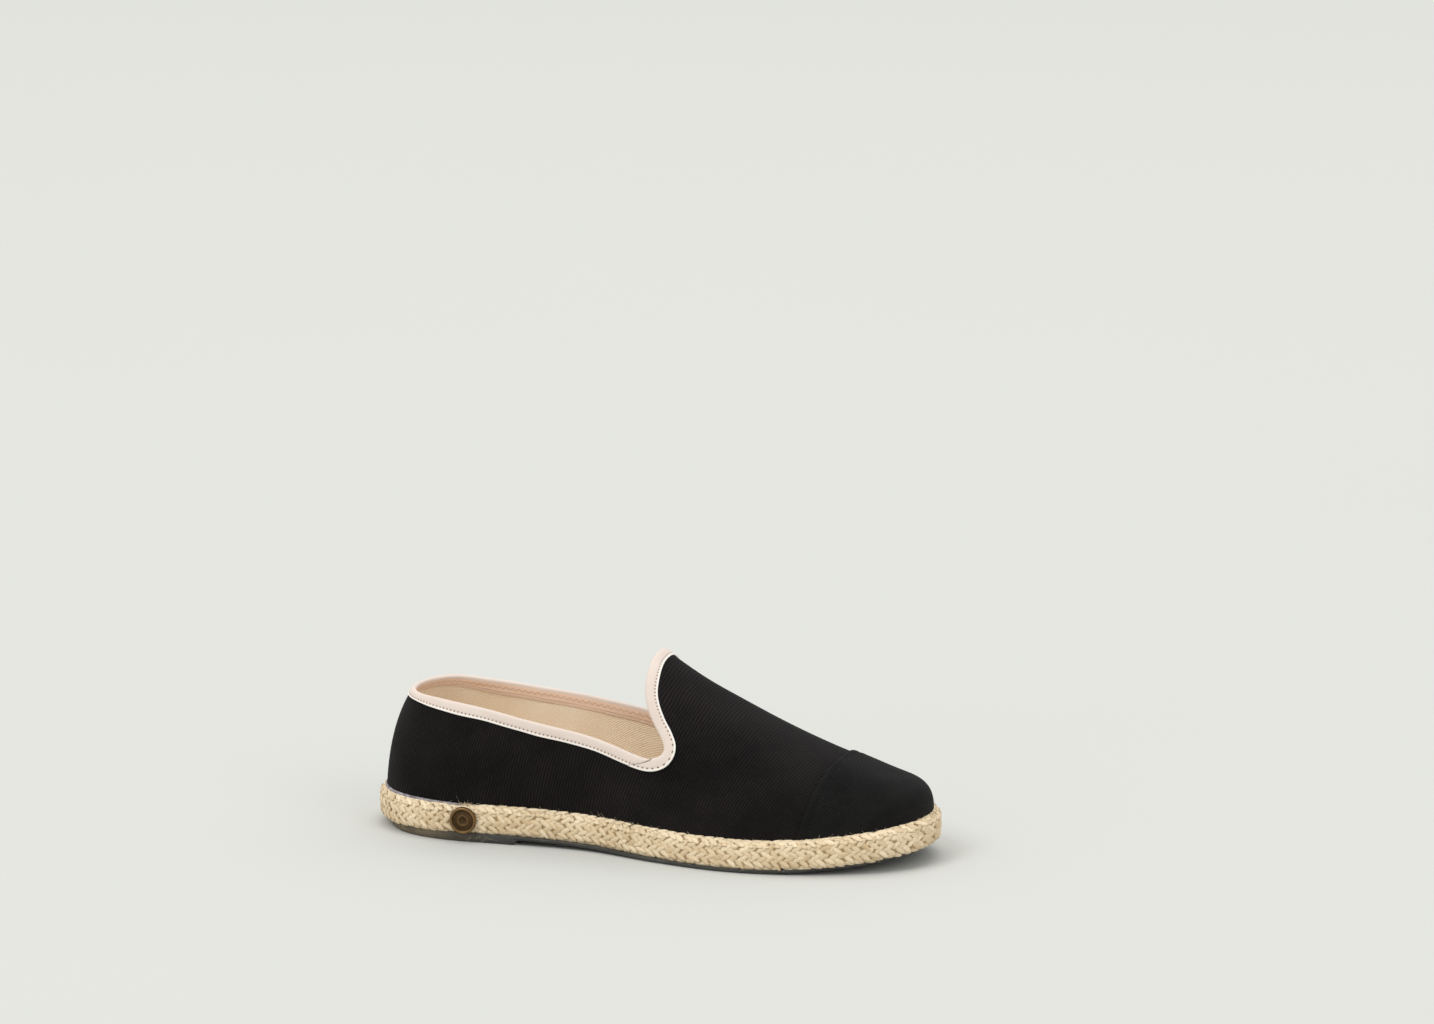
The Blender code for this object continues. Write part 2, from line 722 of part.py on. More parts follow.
def build_rivet(material):
    """Turned head: a disc with a raised ring and a dimple, flat side to the jute."""
    radius = RIVET_DIAMETER / 2
    mesh = bmesh.new()
    verts = [mesh.verts.new((row.across * radius, 0.0, row.out * RIVET_THICKNESS)) for row in RIVET_HEAD]
    edges = [mesh.edges.new(pair) for pair in zip(verts[:-1], verts[1:])]
    bmesh.ops.spin(
        mesh,
        geom=verts + edges,
        cent=(0, 0, 0),
        axis=(0, 0, 1),
        angle=2 * np.pi,
        steps=RIVET_STEPS,
        use_merge=True,
    )
    finish(mesh)
    turn = -turn_of(RIVET_ALONG)
    x, y = outline(turn)
    out_x, out_y = outline(turn, -1.0)
    facing = np.array([out_x - x, out_y - y, 0.0])
    level = np.cross([0.0, 0.0, 1.0], facing)
    z = (jute_bottom(x) + jute_top(x)) / 2
    place = np.array([x, y, z]) + facing * SEAT
    axes = Matrix([(*row, 0.0) for row in zip(level, (0.0, 0.0, 1.0), -facing)] + [(0, 0, 0, 1)])
    frame = Matrix.Translation(place) @ axes @ Matrix.Rotation(np.pi, 4, "X")
    bmesh.ops.transform(mesh, matrix=frame, verts=mesh.verts)
    turn_outward(mesh)
    return new_object("rivet", mesh, material)


def centre_over_origin(things):
    """Moves everything so that the origin lies under the middle of the object's box."""
    solids = [thing for thing in things if not thing.hide_render]
    places = np.array([vertex.co for thing in solids for vertex in thing.data.vertices])
    middle = (places.min(axis=0) + places.max(axis=0)) / 2
    for thing in things:
        thing.data.transform(Matrix.Translation((-middle[0], -middle[1], 0.0)))


def main():
    for thing in list(bpy.data.objects):
        bpy.data.objects.remove(thing)
    rubber = principled("rubber", (0.028, 0.028, 0.028), 0.6)
    jute = principled("braided_jute", (0.66, 0.55, 0.38), 0.9)
    lining = principled("insole_cloth", (0.72, 0.56, 0.40), 0.9)
    canvas = principled("canvas", (0.014, 0.013, 0.012), 0.85)
    cap_canvas = principled("cap_canvas", (0.016, 0.015, 0.014), 0.85)
    tape = principled("cotton_tape", (0.80, 0.74, 0.67), 0.8)
    brass = principled("aged_brass", (0.25, 0.19, 0.11), 0.45, 1.0)
    build_outsole(rubber)
    build_jute_sole(jute)
    build_insole(lining)
    build_upper(canvas)
    build_toe_cap(cap_canvas)
    build_bindings(tape)
    build_rivet(brass)
    centre_over_origin(bpy.data.objects)


main()
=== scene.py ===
# %% [markdown]
# # A canvas espadrille on a braided jute sole
# The right shoe of a pair: black ribbed cotton on top, a cream tape folded over the whole opening,
# a plait of jute for a sole and a thin sheet of rubber under it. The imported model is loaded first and
# stays as it is. Every visible piece is then made round it, in metres, in the same place.

from collections import namedtuple

import bmesh
import bpy
import numpy as np
from mathutils import Matrix, Vector


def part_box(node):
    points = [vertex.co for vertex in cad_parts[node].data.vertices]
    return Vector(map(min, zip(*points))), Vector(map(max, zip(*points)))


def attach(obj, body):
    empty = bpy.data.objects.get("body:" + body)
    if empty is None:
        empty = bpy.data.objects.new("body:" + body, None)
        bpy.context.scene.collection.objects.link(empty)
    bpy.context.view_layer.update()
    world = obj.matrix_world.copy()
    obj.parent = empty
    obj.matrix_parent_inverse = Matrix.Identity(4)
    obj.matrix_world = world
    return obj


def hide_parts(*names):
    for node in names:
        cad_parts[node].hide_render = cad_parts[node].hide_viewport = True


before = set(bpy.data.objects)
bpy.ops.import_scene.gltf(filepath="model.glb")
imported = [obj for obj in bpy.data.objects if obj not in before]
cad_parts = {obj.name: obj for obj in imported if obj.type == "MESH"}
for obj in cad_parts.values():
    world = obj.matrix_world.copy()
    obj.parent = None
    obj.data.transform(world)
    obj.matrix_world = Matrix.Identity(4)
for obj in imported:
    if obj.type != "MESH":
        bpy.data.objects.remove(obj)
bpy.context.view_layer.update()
print("packed nodes:", ", ".join(sorted(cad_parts)))

# %% [markdown]
# ## The shoe's measurements
# A shoemaker works from a last and a few patterns. Here they are short tables: the sole's outline, the
# ridge line over the foot, how boxy each section is, and the edge of the opening seen from each side.
# Lengths run from the heel, and one function draws a smooth line through any column of a table.

# %% Overall sizes
LENGTH = 0.2755
BALL_WIDTH = 0.097
INSTEP_HEIGHT = 0.092
JUTE_HEIGHT = 0.0128
RUBBER_SHEET = 0.0021
HEEL_BLOCK = 0.0046
HEEL_BREAST = 0.278
HEEL_SLOPE_START = 0.25
HEEL_SLOPE_END = 0.60
BREAST_RUN = 0.012
HEEL_BEVEL_HEIGHT = 0.0022
HEEL_BEVEL_LENGTH = 0.065
TOE_SPRING = 0.0078
SPRING_START = 0.667
UPPER_INSET = 0.0034
CAP_THICKNESS = 0.0010
CAP_SIDE = 0.800
CAP_RIDGE = 0.826
CAP_BLEND = 0.10
SEAT = 0.0003
HEEL_LEAN = 0.0053
HEEL_BULGE = 0.0008
HEEL_REACH = 0.40
SPINE_FRONT = 0.80
SPINE_BACK = 0.26
THROAT_START = 0.40
RIM_HALF_WIDTH = 0.030
MM = 0.001
SMALL = 0.002  # step in turn or rise with which slopes are measured
print("sole length and ball width, mm:", round(LENGTH / MM, 1), round(BALL_WIDTH / MM, 1))

# %% Pattern tables
# The sole's half widths on each side, as shares of the ball's width.
Outline = namedtuple("Outline", "along lateral medial")
OUTLINE = [
    Outline(0.00, 0.000, 0.000),
    Outline(0.02, 0.190, 0.190),
    Outline(0.06, 0.305, 0.302),
    Outline(0.14, 0.383, 0.358),
    Outline(0.27, 0.370, 0.345),
    Outline(0.42, 0.370, 0.350),
    Outline(0.55, 0.466, 0.415),
    Outline(0.66, 0.524, 0.466),
    Outline(0.77, 0.512, 0.484),
    Outline(0.87, 0.431, 0.440),
    Outline(0.95, 0.291, 0.310),
    Outline(1.00, 0.000, 0.000),
]
# The ridge's height as a share of the instep's, and how far it lies to the inner side.
Ridge = namedtuple("Ridge", "along height shift")
RIDGE = [
    Ridge(0.00, 0.880, 0.000),
    Ridge(0.14, 0.900, 0.000),
    Ridge(0.26, 1.030, 0.000),
    Ridge(0.36, 1.140, 0.005),
    Ridge(0.44, 1.110, 0.010),
    Ridge(0.505, 0.984, 0.015),
    Ridge(0.575, 0.852, 0.020),
    Ridge(0.64, 0.749, 0.025),
    Ridge(0.71, 0.643, 0.030),
    Ridge(0.78, 0.551, 0.030),
    Ridge(0.85, 0.477, 0.020),
    Ridge(0.92, 0.417, 0.010),
    Ridge(1.00, 0.408, 0.000),
]
# How boxy each section is: 2 is an ellipse, and more is squarer.
Fullness = namedtuple("Fullness", "along across upward")
FULLNESS = [
    Fullness(0.00, 2.8, 2.4),
    Fullness(0.14, 2.5, 2.2),
    Fullness(0.30, 2.8, 2.4),
    Fullness(0.42, 2.6, 2.2),
    Fullness(0.53, 2.2, 1.8),
    Fullness(0.68, 2.2, 1.9),
    Fullness(0.82, 2.5, 1.9),
    Fullness(0.93, 3.2, 1.9),
    Fullness(1.00, 4.0, 2.7),
]
# The opening's edge seen from the side, once for the outer side and once for the inner one.
Rim = namedtuple("Rim", "lateral_along lateral_height medial_along medial_height")
RIM = [
    Rim(-0.030, 0.712, -0.030, 0.712),
    Rim(0.045, 0.708, 0.045, 0.716),
    Rim(0.110, 0.712, 0.110, 0.717),
    Rim(0.167, 0.704, 0.167, 0.698),
    Rim(0.225, 0.684, 0.225, 0.680),
    Rim(0.283, 0.652, 0.283, 0.662),
    Rim(0.341, 0.622, 0.341, 0.644),
    Rim(0.399, 0.594, 0.399, 0.617),
    Rim(0.450, 0.561, 0.452, 0.584),
    Rim(0.494, 0.527, 0.498, 0.550),
    Rim(0.525, 0.512, 0.532, 0.538),
    Rim(0.546, 0.528, 0.555, 0.551),
    Rim(0.553, 0.570, 0.562, 0.590),
    Rim(0.544, 0.626, 0.552, 0.640),
    Rim(0.528, 0.688, 0.533, 0.699),
    Rim(0.514, 0.757, 0.517, 0.765),
    Rim(0.506, 0.826, 0.507, 0.832),
    Rim(0.503, 0.902, 0.503, 0.903),
    Rim(0.503, 1.010, 0.503, 1.010),
    Rim(0.503, 1.250, 0.503, 1.250),
]
# Side walls: how far in, in metres, at each share of the layer's height.
Wall = namedtuple("Wall", "inset height")
JUTE_WALL = [
    Wall(0.0040, 0.00),
    Wall(0.0011, 0.02),
    Wall(0.0002, 0.14),
    Wall(0.0000, 0.38),
    Wall(0.0000, 0.66),
    Wall(0.0004, 0.84),
    Wall(0.0013, 0.95),
    Wall(0.0027, 1.00),
]
RUBBER_WALL = [
    Wall(0.0040, 0.00),
    Wall(0.0014, 0.00),
    Wall(0.0007, 0.10),
    Wall(0.0003, 0.35),
    Wall(0.0000, 0.85),
    Wall(0.0002, 1.00),
    Wall(0.0030, 1.00),
]
RubberInset = namedtuple("RubberInset", "along inset")
RUBBER_INSET = [
    RubberInset(0.00, 0.0048),
    RubberInset(0.06, 0.0024),
    RubberInset(0.15, 0.0010),
    RubberInset(0.80, 0.0010),
    RubberInset(0.92, 0.0022),
    RubberInset(1.00, 0.0042),
]
print("table rows:", len(OUTLINE), len(RIDGE), len(FULLNESS), len(RIM), len(JUTE_WALL), len(RUBBER_WALL))

# %% Lines through a table
def column(rows, name):
    """One column of a table as an array."""
    return np.array([getattr(row, name) for row in rows])


def through(stops, values, at):
    """Smooth curve through a table's rows, read at the given places."""
    at = np.asarray(at, float)
    spans = np.diff(stops)
    rises = np.diff(values) / spans
    slopes = np.empty(len(stops))
    inner = rises[:-1] * spans[1:] + rises[1:] * spans[:-1]
    slopes[1:-1] = inner / (spans[1:] + spans[:-1])
    slopes[0] = 1.5 * rises[0] - 0.5 * slopes[1]
    slopes[-1] = 1.5 * rises[-1] - 0.5 * slopes[-2]
    row = np.clip(np.searchsorted(stops, at) - 1, 0, len(stops) - 2)
    span = spans[row]
    part = (at - stops[row]) / span
    start = values[row] * (1 + 2 * part) * (1 - part) ** 2
    end = values[row + 1] * part**2 * (3 - 2 * part)
    leave = span * slopes[row] * part * (1 - part) ** 2
    arrive = span * slopes[row + 1] * part**2 * (part - 1)
    return start + end + leave + arrive


def ease(share):
    """Soft step from 0 to 1."""
    share = np.clip(share, 0, 1)
    return share * share * (3 - 2 * share)


ridge_middle = through(column(RIDGE, "along"), column(RIDGE, "height"), 0.5)
print("ridge at half length, share of the instep:", round(float(ridge_middle), 3))

# %% [markdown]
# ## The last
# The foot-shaped block a shoe is built on is one function of two numbers. `turn` goes round the sole's
# outline, 0 at the heel and pi at the toe, negative on the outer side. `rise` goes from the sole, 0, up to
# the ridge, 1. Cloth, lining, cap and tape all lie on this form, a little further in or out.

# %% Plan of the sole
def turn_of(along):
    """Turn round the outline at a share of the sole's length."""
    return np.arccos(1 - 2 * np.asarray(along, float))


def along_of(turn):
    """Share of the sole's length at a turn."""
    return (1 - np.cos(turn)) / 2


def half_width(turn):
    """Half width of the sole on the side that the turn is on."""
    stops = turn_of(column(OUTLINE, "along"))
    lateral = through(stops, column(OUTLINE, "lateral"), np.abs(turn))
    medial = through(stops, column(OUTLINE, "medial"), np.abs(turn))
    return BALL_WIDTH * np.where(turn < 0, lateral, medial)


def outline(turn, inset=0.0):
    """Plan point of the sole's edge moved inward by the inset."""
    turn = np.asarray(turn, float)

    def edge(at):
        at = (at + np.pi) % (2 * np.pi) - np.pi
        return LENGTH * along_of(at), np.sign(at) * half_width(at)

    x, y = edge(turn)
    x_next, y_next = edge(turn + SMALL)
    x_last, y_last = edge(turn - SMALL)
    run_x = x_next - x_last
    run_y = y_next - y_last
    run = np.hypot(run_x, run_y)
    return x + inset * run_y / run, y - inset * run_x / run


print("widest half, outer side, mm:", round(float(half_width(-turn_of(0.66))) / MM, 1))


# %% Heights along the sole
def toe_spring(x):
    """How far the toe is lifted off the floor."""
    start = SPRING_START * LENGTH
    share = np.clip((x - start) / (LENGTH - start), 0, None)
    return TOE_SPRING * share**2


def jute_bottom(x):
    """The jute drops from the heel block to the thin sheet, and lifts again at the toe."""
    slope = ease((x / LENGTH - HEEL_SLOPE_START) / (HEEL_SLOPE_END - HEEL_SLOPE_START))
    return HEEL_BLOCK + (RUBBER_SHEET - HEEL_BLOCK) * slope + toe_spring(x)


def jute_top(x):
    """Top of the jute, where the upper stands."""
    return jute_bottom(x) + JUTE_HEIGHT


def rubber_bottom(x):
    """Underside of the rubber: bevelled heel, the step behind the arch, and the sheet."""
    bevel = np.clip(1 - x / (HEEL_BEVEL_LENGTH * LENGTH), 0, 1)
    heel = HEEL_BEVEL_HEIGHT * bevel**2
    sheet = jute_bottom(x) - RUBBER_SHEET
    past = ease((x / LENGTH - HEEL_BREAST) / BREAST_RUN)
    return heel + (sheet - heel) * past


print("top of the jute at half length, mm:", round(float(jute_top(LENGTH / 2)) / MM, 1))

# %% The form itself
def upper_inset(turn):
    """How far the upper stands in from the sole's edge, more under the toe cap."""
    under_cap = ease((along_of(turn) - CAP_SIDE) / CAP_BLEND + 0.5)
    return UPPER_INSET + (SEAT + CAP_THICKNESS) * under_cap


def spine(x):
    """Where each section's ridge lies: they fan out round the heel and the toe."""
    back = SPINE_BACK * LENGTH
    front = SPINE_FRONT * LENGTH
    behind = np.clip(back - x, 0, None)
    ahead = np.clip(x - front, 0, None)
    return x + behind**2 / (2 * back) - ahead**2 / (2 * (LENGTH - front))


def ridge_height(x):
    """Height of the form's ridge line."""
    return INSTEP_HEIGHT * through(column(RIDGE, "along"), column(RIDGE, "height"), x / LENGTH)


def form(turn, rise):
    """Point of the upper's outside, rise 0 at the sole and 1 at the ridge."""
    turn = np.asarray(turn, float)
    rise = np.asarray(rise, float)
    edge_x, edge_y = outline(turn, upper_inset(turn))
    along = along_of(turn)
    centre_x = spine(LENGTH * along)
    shift = through(column(RIDGE, "along"), column(RIDGE, "shift"), centre_x / LENGTH)
    centre_y = BALL_WIDTH * shift
    across = through(column(FULLNESS, "along"), column(FULLNESS, "across"), along)
    upward = through(column(FULLNESS, "along"), column(FULLNESS, "upward"), along)
    cosine = np.cos(rise * np.pi / 2)
    sine = np.sin(rise * np.pi / 2)
    reach = np.sign(cosine) * np.abs(cosine) ** (2 / across)
    lift = np.sign(sine) * np.abs(sine) ** (2 / upward)
    x = centre_x + reach * (edge_x - centre_x)
    y = centre_y + reach * (edge_y - centre_y)
    base = jute_top(x) + SEAT
    height = (ridge_height(x) - base) * lift
    lean = np.clip(1 - along / HEEL_REACH, 0, 1) ** 2
    up = height / (INSTEP_HEIGHT / 2)
    x = x + lean * (HEEL_LEAN * up - 4 * HEEL_BULGE * up * (1 - up))
    return np.stack([x, y, base + height], axis=-1)


def skin(turn, rise, offset):
    """Point of the form moved outward by the offset along its normal."""
    turn, rise, offset = np.broadcast_arrays(*(np.asarray(part, float) for part in (turn, rise, offset)))
    point = form(turn, rise)
    round_it = form(turn + SMALL, rise) - form(turn - SMALL, rise)
    up_it = form(turn, rise + SMALL) - form(turn, rise - SMALL)
    normal = np.cross(up_it, round_it)
    slope = (ridge_height(point[..., 0] + MM) - ridge_height(point[..., 0] - MM)) / (2 * MM)
    top = np.stack([-slope, np.zeros_like(slope), np.ones_like(slope)], axis=-1)
    normal = np.where((rise > 0.999)[..., None], top, normal)
    normal = normal / np.linalg.norm(normal, axis=-1, keepdims=True)
    return point + offset[..., None] * normal


sole_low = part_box("jute_sole")[0]
edge_x, edge_y = outline(np.linspace(-np.pi, np.pi, 721))
HEEL_TO_FRAME = Vector((sole_low.x - edge_x.min(), sole_low.y - edge_y.min(), 0.0))
print("heel to frame, mm:", [round(part / MM, 2) for part in HEEL_TO_FRAME])

# %% [markdown]
# ## How a sheet is laid on the form
# A patch of cloth is a plain grid, and each of its points is then laid on the form. The grid keeps a UV map
# in metres, the length along the cloth and across it, so a weave can be drawn at its real thread spacing.

# %% Grids and seams
def lay_grid(places, metres):
    """Grid of faces whose points lie on the given places; metres are its UV map."""
    rows, columns = places.shape[:2]
    mesh = bmesh.new()
    bmesh.ops.create_grid(mesh, x_segments=columns - 1, y_segments=rows - 1, size=1)
    for vertex, place in zip(mesh.verts, places.reshape(-1, 3)):
        vertex.co = place
    mesh.verts.index_update()
    layer = mesh.loops.layers.uv.new("metres")
    lengths = np.broadcast_to(metres, (rows, columns, 2)).reshape(-1, 2)
    for face in mesh.faces:
        for loop in face.loops:
            loop[layer].uv = lengths[loop.vert.index]
    return mesh


def close_seams(mesh):
    """Joins doubled points and turns every face outward."""
    bmesh.ops.remove_doubles(mesh, verts=mesh.verts, dist=0.00001)
    bmesh.ops.dissolve_degenerate(mesh, edges=mesh.edges, dist=0.000001)
    bmesh.ops.recalc_face_normals(mesh, faces=mesh.faces)


def face_out(mesh, inside):
    """Turns an open sheet so that its faces look away from a point inside the shoe."""
    outward = sum((face.calc_center_median() - inside).dot(face.normal) for face in mesh.faces)
    if outward < 0:
        bmesh.ops.reverse_faces(mesh, faces=mesh.faces)


def close_tube(mesh):
    """Joins the ring of a swept tube and closes its two ends."""
    bmesh.ops.remove_doubles(mesh, verts=mesh.verts, dist=0.000005)
    open_edges = [edge for edge in mesh.edges if edge.is_boundary]
    bmesh.ops.holes_fill(mesh, edges=open_edges, sides=0)
    bmesh.ops.recalc_face_normals(mesh, faces=mesh.faces)


# %% Finished pieces
def new_piece(name, mesh, material, slot, *stands_for):
    """Moves a finished bmesh to the shoe's place and makes it an object that rides with the shoe."""
    bmesh.ops.translate(mesh, verts=mesh.verts, vec=HEEL_TO_FRAME)
    data = bpy.data.meshes.new(name)
    mesh.to_mesh(data)
    mesh.free()
    data.materials.append(material)
    data.shade_smooth()
    piece = bpy.data.objects.new(name, data)
    bpy.context.scene.collection.objects.link(piece)
    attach(piece, "root")
    if stands_for:
        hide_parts(*stands_for)
    print(name, len(data.polygons), "faces")
    return piece


def give_thickness(piece, thickness):
    """Cloth as thick as the real one, to the inner side of the sheet."""
    wall = piece.modifiers.new("cloth_thickness", "SOLIDIFY")
    wall.thickness = thickness
    wall.offset = -1.0


# %% [markdown]
# ## How a finish is made
# Every material has one Principled shader. A function adds one node at a time and gives back its output,
# so a pattern reads as a list of steps: a place on the cloth, noise or waves, a shade, and two colours mixed
# by that shade. The same pattern, as a height, is a little bump.

# %% Colours and nodes
def linear(colour):
    """Hex sRGB colour as linear red, green, blue and 1."""
    parts = [int(colour[place : place + 2], 16) / 255 for place in (1, 3, 5)]
    return [part / 12.92 if part < 0.04045 else ((part + 0.055) / 1.055) ** 2.4 for part in parts] + [1.0]


def add_node(material, kind, fill=None, out=0, **settings):
    """Adds one node with its settings; fill gives each input a value or another node's output."""
    tree = material.node_tree
    made = tree.nodes.new("ShaderNode" + kind)
    for name, value in settings.items():
        setattr(made, name, value)
    for socket, value in (fill or {}).items():
        if isinstance(value, bpy.types.NodeSocket):
            tree.links.new(value, made.inputs[socket])
        else:
            made.inputs[socket].default_value = value
    return made.outputs[out]


def new_material(name, roughness, metallic=0.0, sheen=0.0):
    """A material with one Principled shader, and the shader."""
    material = bpy.data.materials.new(name)
    material.use_nodes = True
    shader = material.node_tree.nodes["Principled BSDF"]
    shader.inputs["Roughness"].default_value = roughness
    shader.inputs["Metallic"].default_value = metallic
    shader.inputs["Sheen Weight"].default_value = sheen
    return material, shader


def finish_material(material, shader, colour, height=None, depth=0.0001, strength=1.0):
    """Links a colour, and a height in metres as bump, to the shader."""
    tree = material.node_tree
    tree.links.new(colour, shader.inputs["Base Color"])
    if height is not None:
        bump = add_node(material, "Bump", {"Strength": strength, "Distance": depth, "Height": height})
        tree.links.new(bump, shader.inputs["Normal"])
    return material


# %% [markdown]
# ## Camera, floor and light
# The photograph was taken from 18 degrees round from the outer side and 13 degrees up, from far away, so
# a long lens at 4.5 m stands for it. The studio light is so soft that the shoe has only a thin contact
# shadow. A white sky and three wide lamps give that, over a pale floor.

# %% Camera at the photograph's angle
AZIMUTH = np.radians(18.0)
ELEVATION = np.radians(13.0)
DISTANCE = 4.5
PIXELS_PER_METRE = 2119.0
TARGET = Vector((0.140, 0.0, 0.040)) + HEEL_TO_FRAME
TARGET_PIXEL = (663.1, 755.6)
PHOTO = (1434, 1024)
SENSOR = 36.0
to_camera = Vector(
    (
        np.sin(AZIMUTH) * np.cos(ELEVATION),
        -np.cos(AZIMUTH) * np.cos(ELEVATION),
        np.sin(ELEVATION),
    )
)
right = Vector((np.cos(AZIMUTH), np.sin(AZIMUTH), 0.0))
above = to_camera.cross(right)
aside = (TARGET_PIXEL[0] - PHOTO[0] / 2) / PIXELS_PER_METRE
below_middle = (TARGET_PIXEL[1] - PHOTO[1] / 2) / PIXELS_PER_METRE
camera_data = bpy.data.cameras.new("camera")
camera_data.sensor_width = SENSOR
camera_data.lens = SENSOR * DISTANCE * PIXELS_PER_METRE / PHOTO[0]
camera_data.clip_end = 60.0
camera = bpy.data.objects.new("camera", camera_data)
camera.location = TARGET + to_camera * DISTANCE - right * aside + above * below_middle
camera.rotation_euler = (-to_camera).to_track_quat("-Z", "Y").to_euler()
bpy.context.scene.collection.objects.link(camera)
bpy.context.scene.camera = camera
print("lens, mm:", round(camera_data.lens, 1))

# %% [markdown]
# Seen so flat, the floor gets less light the further back it lies, and the photograph's ground is one even
# tone. So the paper is a very little paler toward the back, from its Object coordinates.

# %% Floor
FLOOR_HALF = 14.0
PALER_FROM = -0.2
PALER_TO = 1.9
floor_mesh = bmesh.new()
bmesh.ops.create_grid(floor_mesh, x_segments=1, y_segments=1, size=FLOOR_HALF)
floor_data = bpy.data.meshes.new("studio_floor")
floor_mesh.to_mesh(floor_data)
floor_mesh.free()
studio_floor = bpy.data.objects.new("studio_floor", floor_data)
bpy.context.scene.collection.objects.link(studio_floor)

paper, paper_shader = new_material("matt_backdrop_paper", 1.0)
grain = add_node(paper, "TexNoise", {"Scale": 60.0, "Detail": 4.0})
tone = add_node(
    paper, "Mix", {0: grain, 6: linear("#cecfca"), 7: linear("#d1d2cd")}, out=2, data_type="RGBA"
)
spot = add_node(paper, "TexCoord", out=3)
depth = add_node(paper, "SeparateXYZ", {0: spot}, out=1)
backward = add_node(paper, "MapRange", {0: depth, 1: PALER_FROM, 2: PALER_TO, 3: 0.0, 4: 1.0})
tone = add_node(paper, "Mix", {0: backward, 6: tone, 7: linear("#d4d5d0")}, out=2, data_type="RGBA")
paper_shader.inputs["Specular IOR Level"].default_value = 0.0
floor_data.materials.append(finish_material(paper, paper_shader, tone))
print("floor, m across:", 2 * FLOOR_HALF)

# %% Sky and lamps
SKY = 0.74
world = bpy.data.worlds.new("studio_sky")
world.use_nodes = True
world.node_tree.nodes["Background"].inputs["Color"].default_value = linear("#ffffff")
world.node_tree.nodes["Background"].inputs["Strength"].default_value = SKY
bpy.context.scene.world = world
bpy.context.scene.view_settings.view_transform = "Standard"

Lamp = namedtuple("Lamp", "name place size power")
LAMPS = [
    Lamp("top_light", (0.2, 1.8, 6.0), 5.0, 118.0),
    Lamp("key_light", (-2.4, -3.6, 5.2), 3.0, 135.0),
    Lamp("fill_light", (4.2, -2.6, 3.6), 3.0, 38.0),
]
for row in LAMPS:
    light = bpy.data.lights.new(row.name, "AREA")
    light.size = row.size
    light.energy = row.power
    lamp = bpy.data.objects.new(row.name, light)
    lamp.location = row.place
    lamp.rotation_euler = Vector(row.place).to_track_quat("Z", "Y").to_euler()
    bpy.context.scene.collection.objects.link(lamp)
print("lamps:", [row.name for row in LAMPS])

# %% [markdown]
# ## The opening
# The canvas is cut out round the ankle, and a tape is folded over the cut. The cut is known as seen from
# the side, so each place on the form is compared with that line. Where the tape runs, the line is needed
# as places on the form itself, which are found by following each row of the form up to the cut.

# %% The opening seen from the side
def rim_curve():
    """Two edges of the opening seen from the side, as smooth point rows: lateral and medial."""
    rows = np.arange(len(RIM), dtype=float)
    at = np.linspace(0, len(RIM) - 1, (len(RIM) - 1) * 8 + 1)
    curves = []
    for side in ("lateral", "medial"):
        x = LENGTH * through(rows, column(RIM, side + "_along"), at)
        z = INSTEP_HEIGHT * through(rows, column(RIM, side + "_height"), at)
        curves.append(np.stack([x, z], axis=1))
    return curves


def depth_of_cloth(places):
    """How far each place lies below or ahead of the opening's edge, negative inside the opening."""
    x, y, z = np.moveaxis(places, -1, 0)
    share = 0.5 + y / (2 * RIM_HALF_WIDTH)
    edges = rim_curve()
    weights = (1 - share, share)
    lowest = int(np.argmin(edges[0][:, 1]))
    rim_z = sum(
        weight * np.interp(x, edge[: lowest + 1, 0], edge[: lowest + 1, 1])
        for edge, weight in zip(edges, weights)
    )
    rim_x = sum(
        weight * np.interp(z, edge[lowest:, 1], edge[lowest:, 0])
        for edge, weight in zip(edges, weights)
    )
    return np.maximum(rim_z - z, x - rim_x)


print("depth of cloth on the toe, mm:", round(float(depth_of_cloth(form(np.pi, 0.5))) / MM, 1))


# %% The opening on the form
def crossing(values, at):
    """Place at which the values first rise above zero."""
    index = int(np.argmax(values > 0))
    share = values[index - 1] / (values[index - 1] - values[index])
    return at[index - 1] + (at[index] - at[index - 1]) * share


def rim_on_form(side, stations=110):
    """(turn, rise) pairs along the opening from the heel to the ridge, on one side (-1 or 1)."""
    lateral, medial = rim_curve()
    rises = np.linspace(0, 1, 400)
    lowest = int(np.argmin(lateral[:, 1]))
    pairs = []
    for turn in np.linspace(0, turn_of(THROAT_START), stations):
        x, y, z = form(side * turn, rises).T
        share = 0.5 + y / (2 * RIM_HALF_WIDTH)
        lateral_z = np.interp(x, lateral[: lowest + 1, 0], lateral[: lowest + 1, 1])
        medial_z = np.interp(x, medial[: lowest + 1, 0], medial[: lowest + 1, 1])
        edge = lateral_z * (1 - share) + medial_z * share
        pairs.append((side * turn, crossing(z - edge, rises)))
    rows = np.arange(len(lateral), dtype=float)
    start = crossing(lateral[: lowest + 1, 0] - THROAT_START * LENGTH, rows[: lowest + 1])
    middle = (lateral + medial) / 2
    over = middle[lowest:, 1] - ridge_height(middle[lowest:, 0])
    end = crossing(over, rows[lowest:])
    for row in np.linspace(start, end, stations)[1:]:
        y = side * RIM_HALF_WIDTH
        ahead = 0.0
        for _ in range(6):
            share = 0.5 + y / (2 * RIM_HALF_WIDTH)
            edge = lateral * (1 - share) + medial * share
            x = np.interp(row, rows, edge[:, 0])
            z = np.interp(row, rows, edge[:, 1])
            turn = side * turn_of((x + ahead) / LENGTH)
            points = form(turn, rises)
            rise = crossing(points[:, 2] - z, rises) if row < end else 1.0
            y = np.interp(rise, rises, points[:, 1])
            ahead = ahead + x - np.interp(rise, rises, points[:, 0])
        pairs.append((turn, rise))
    return np.array(pairs)


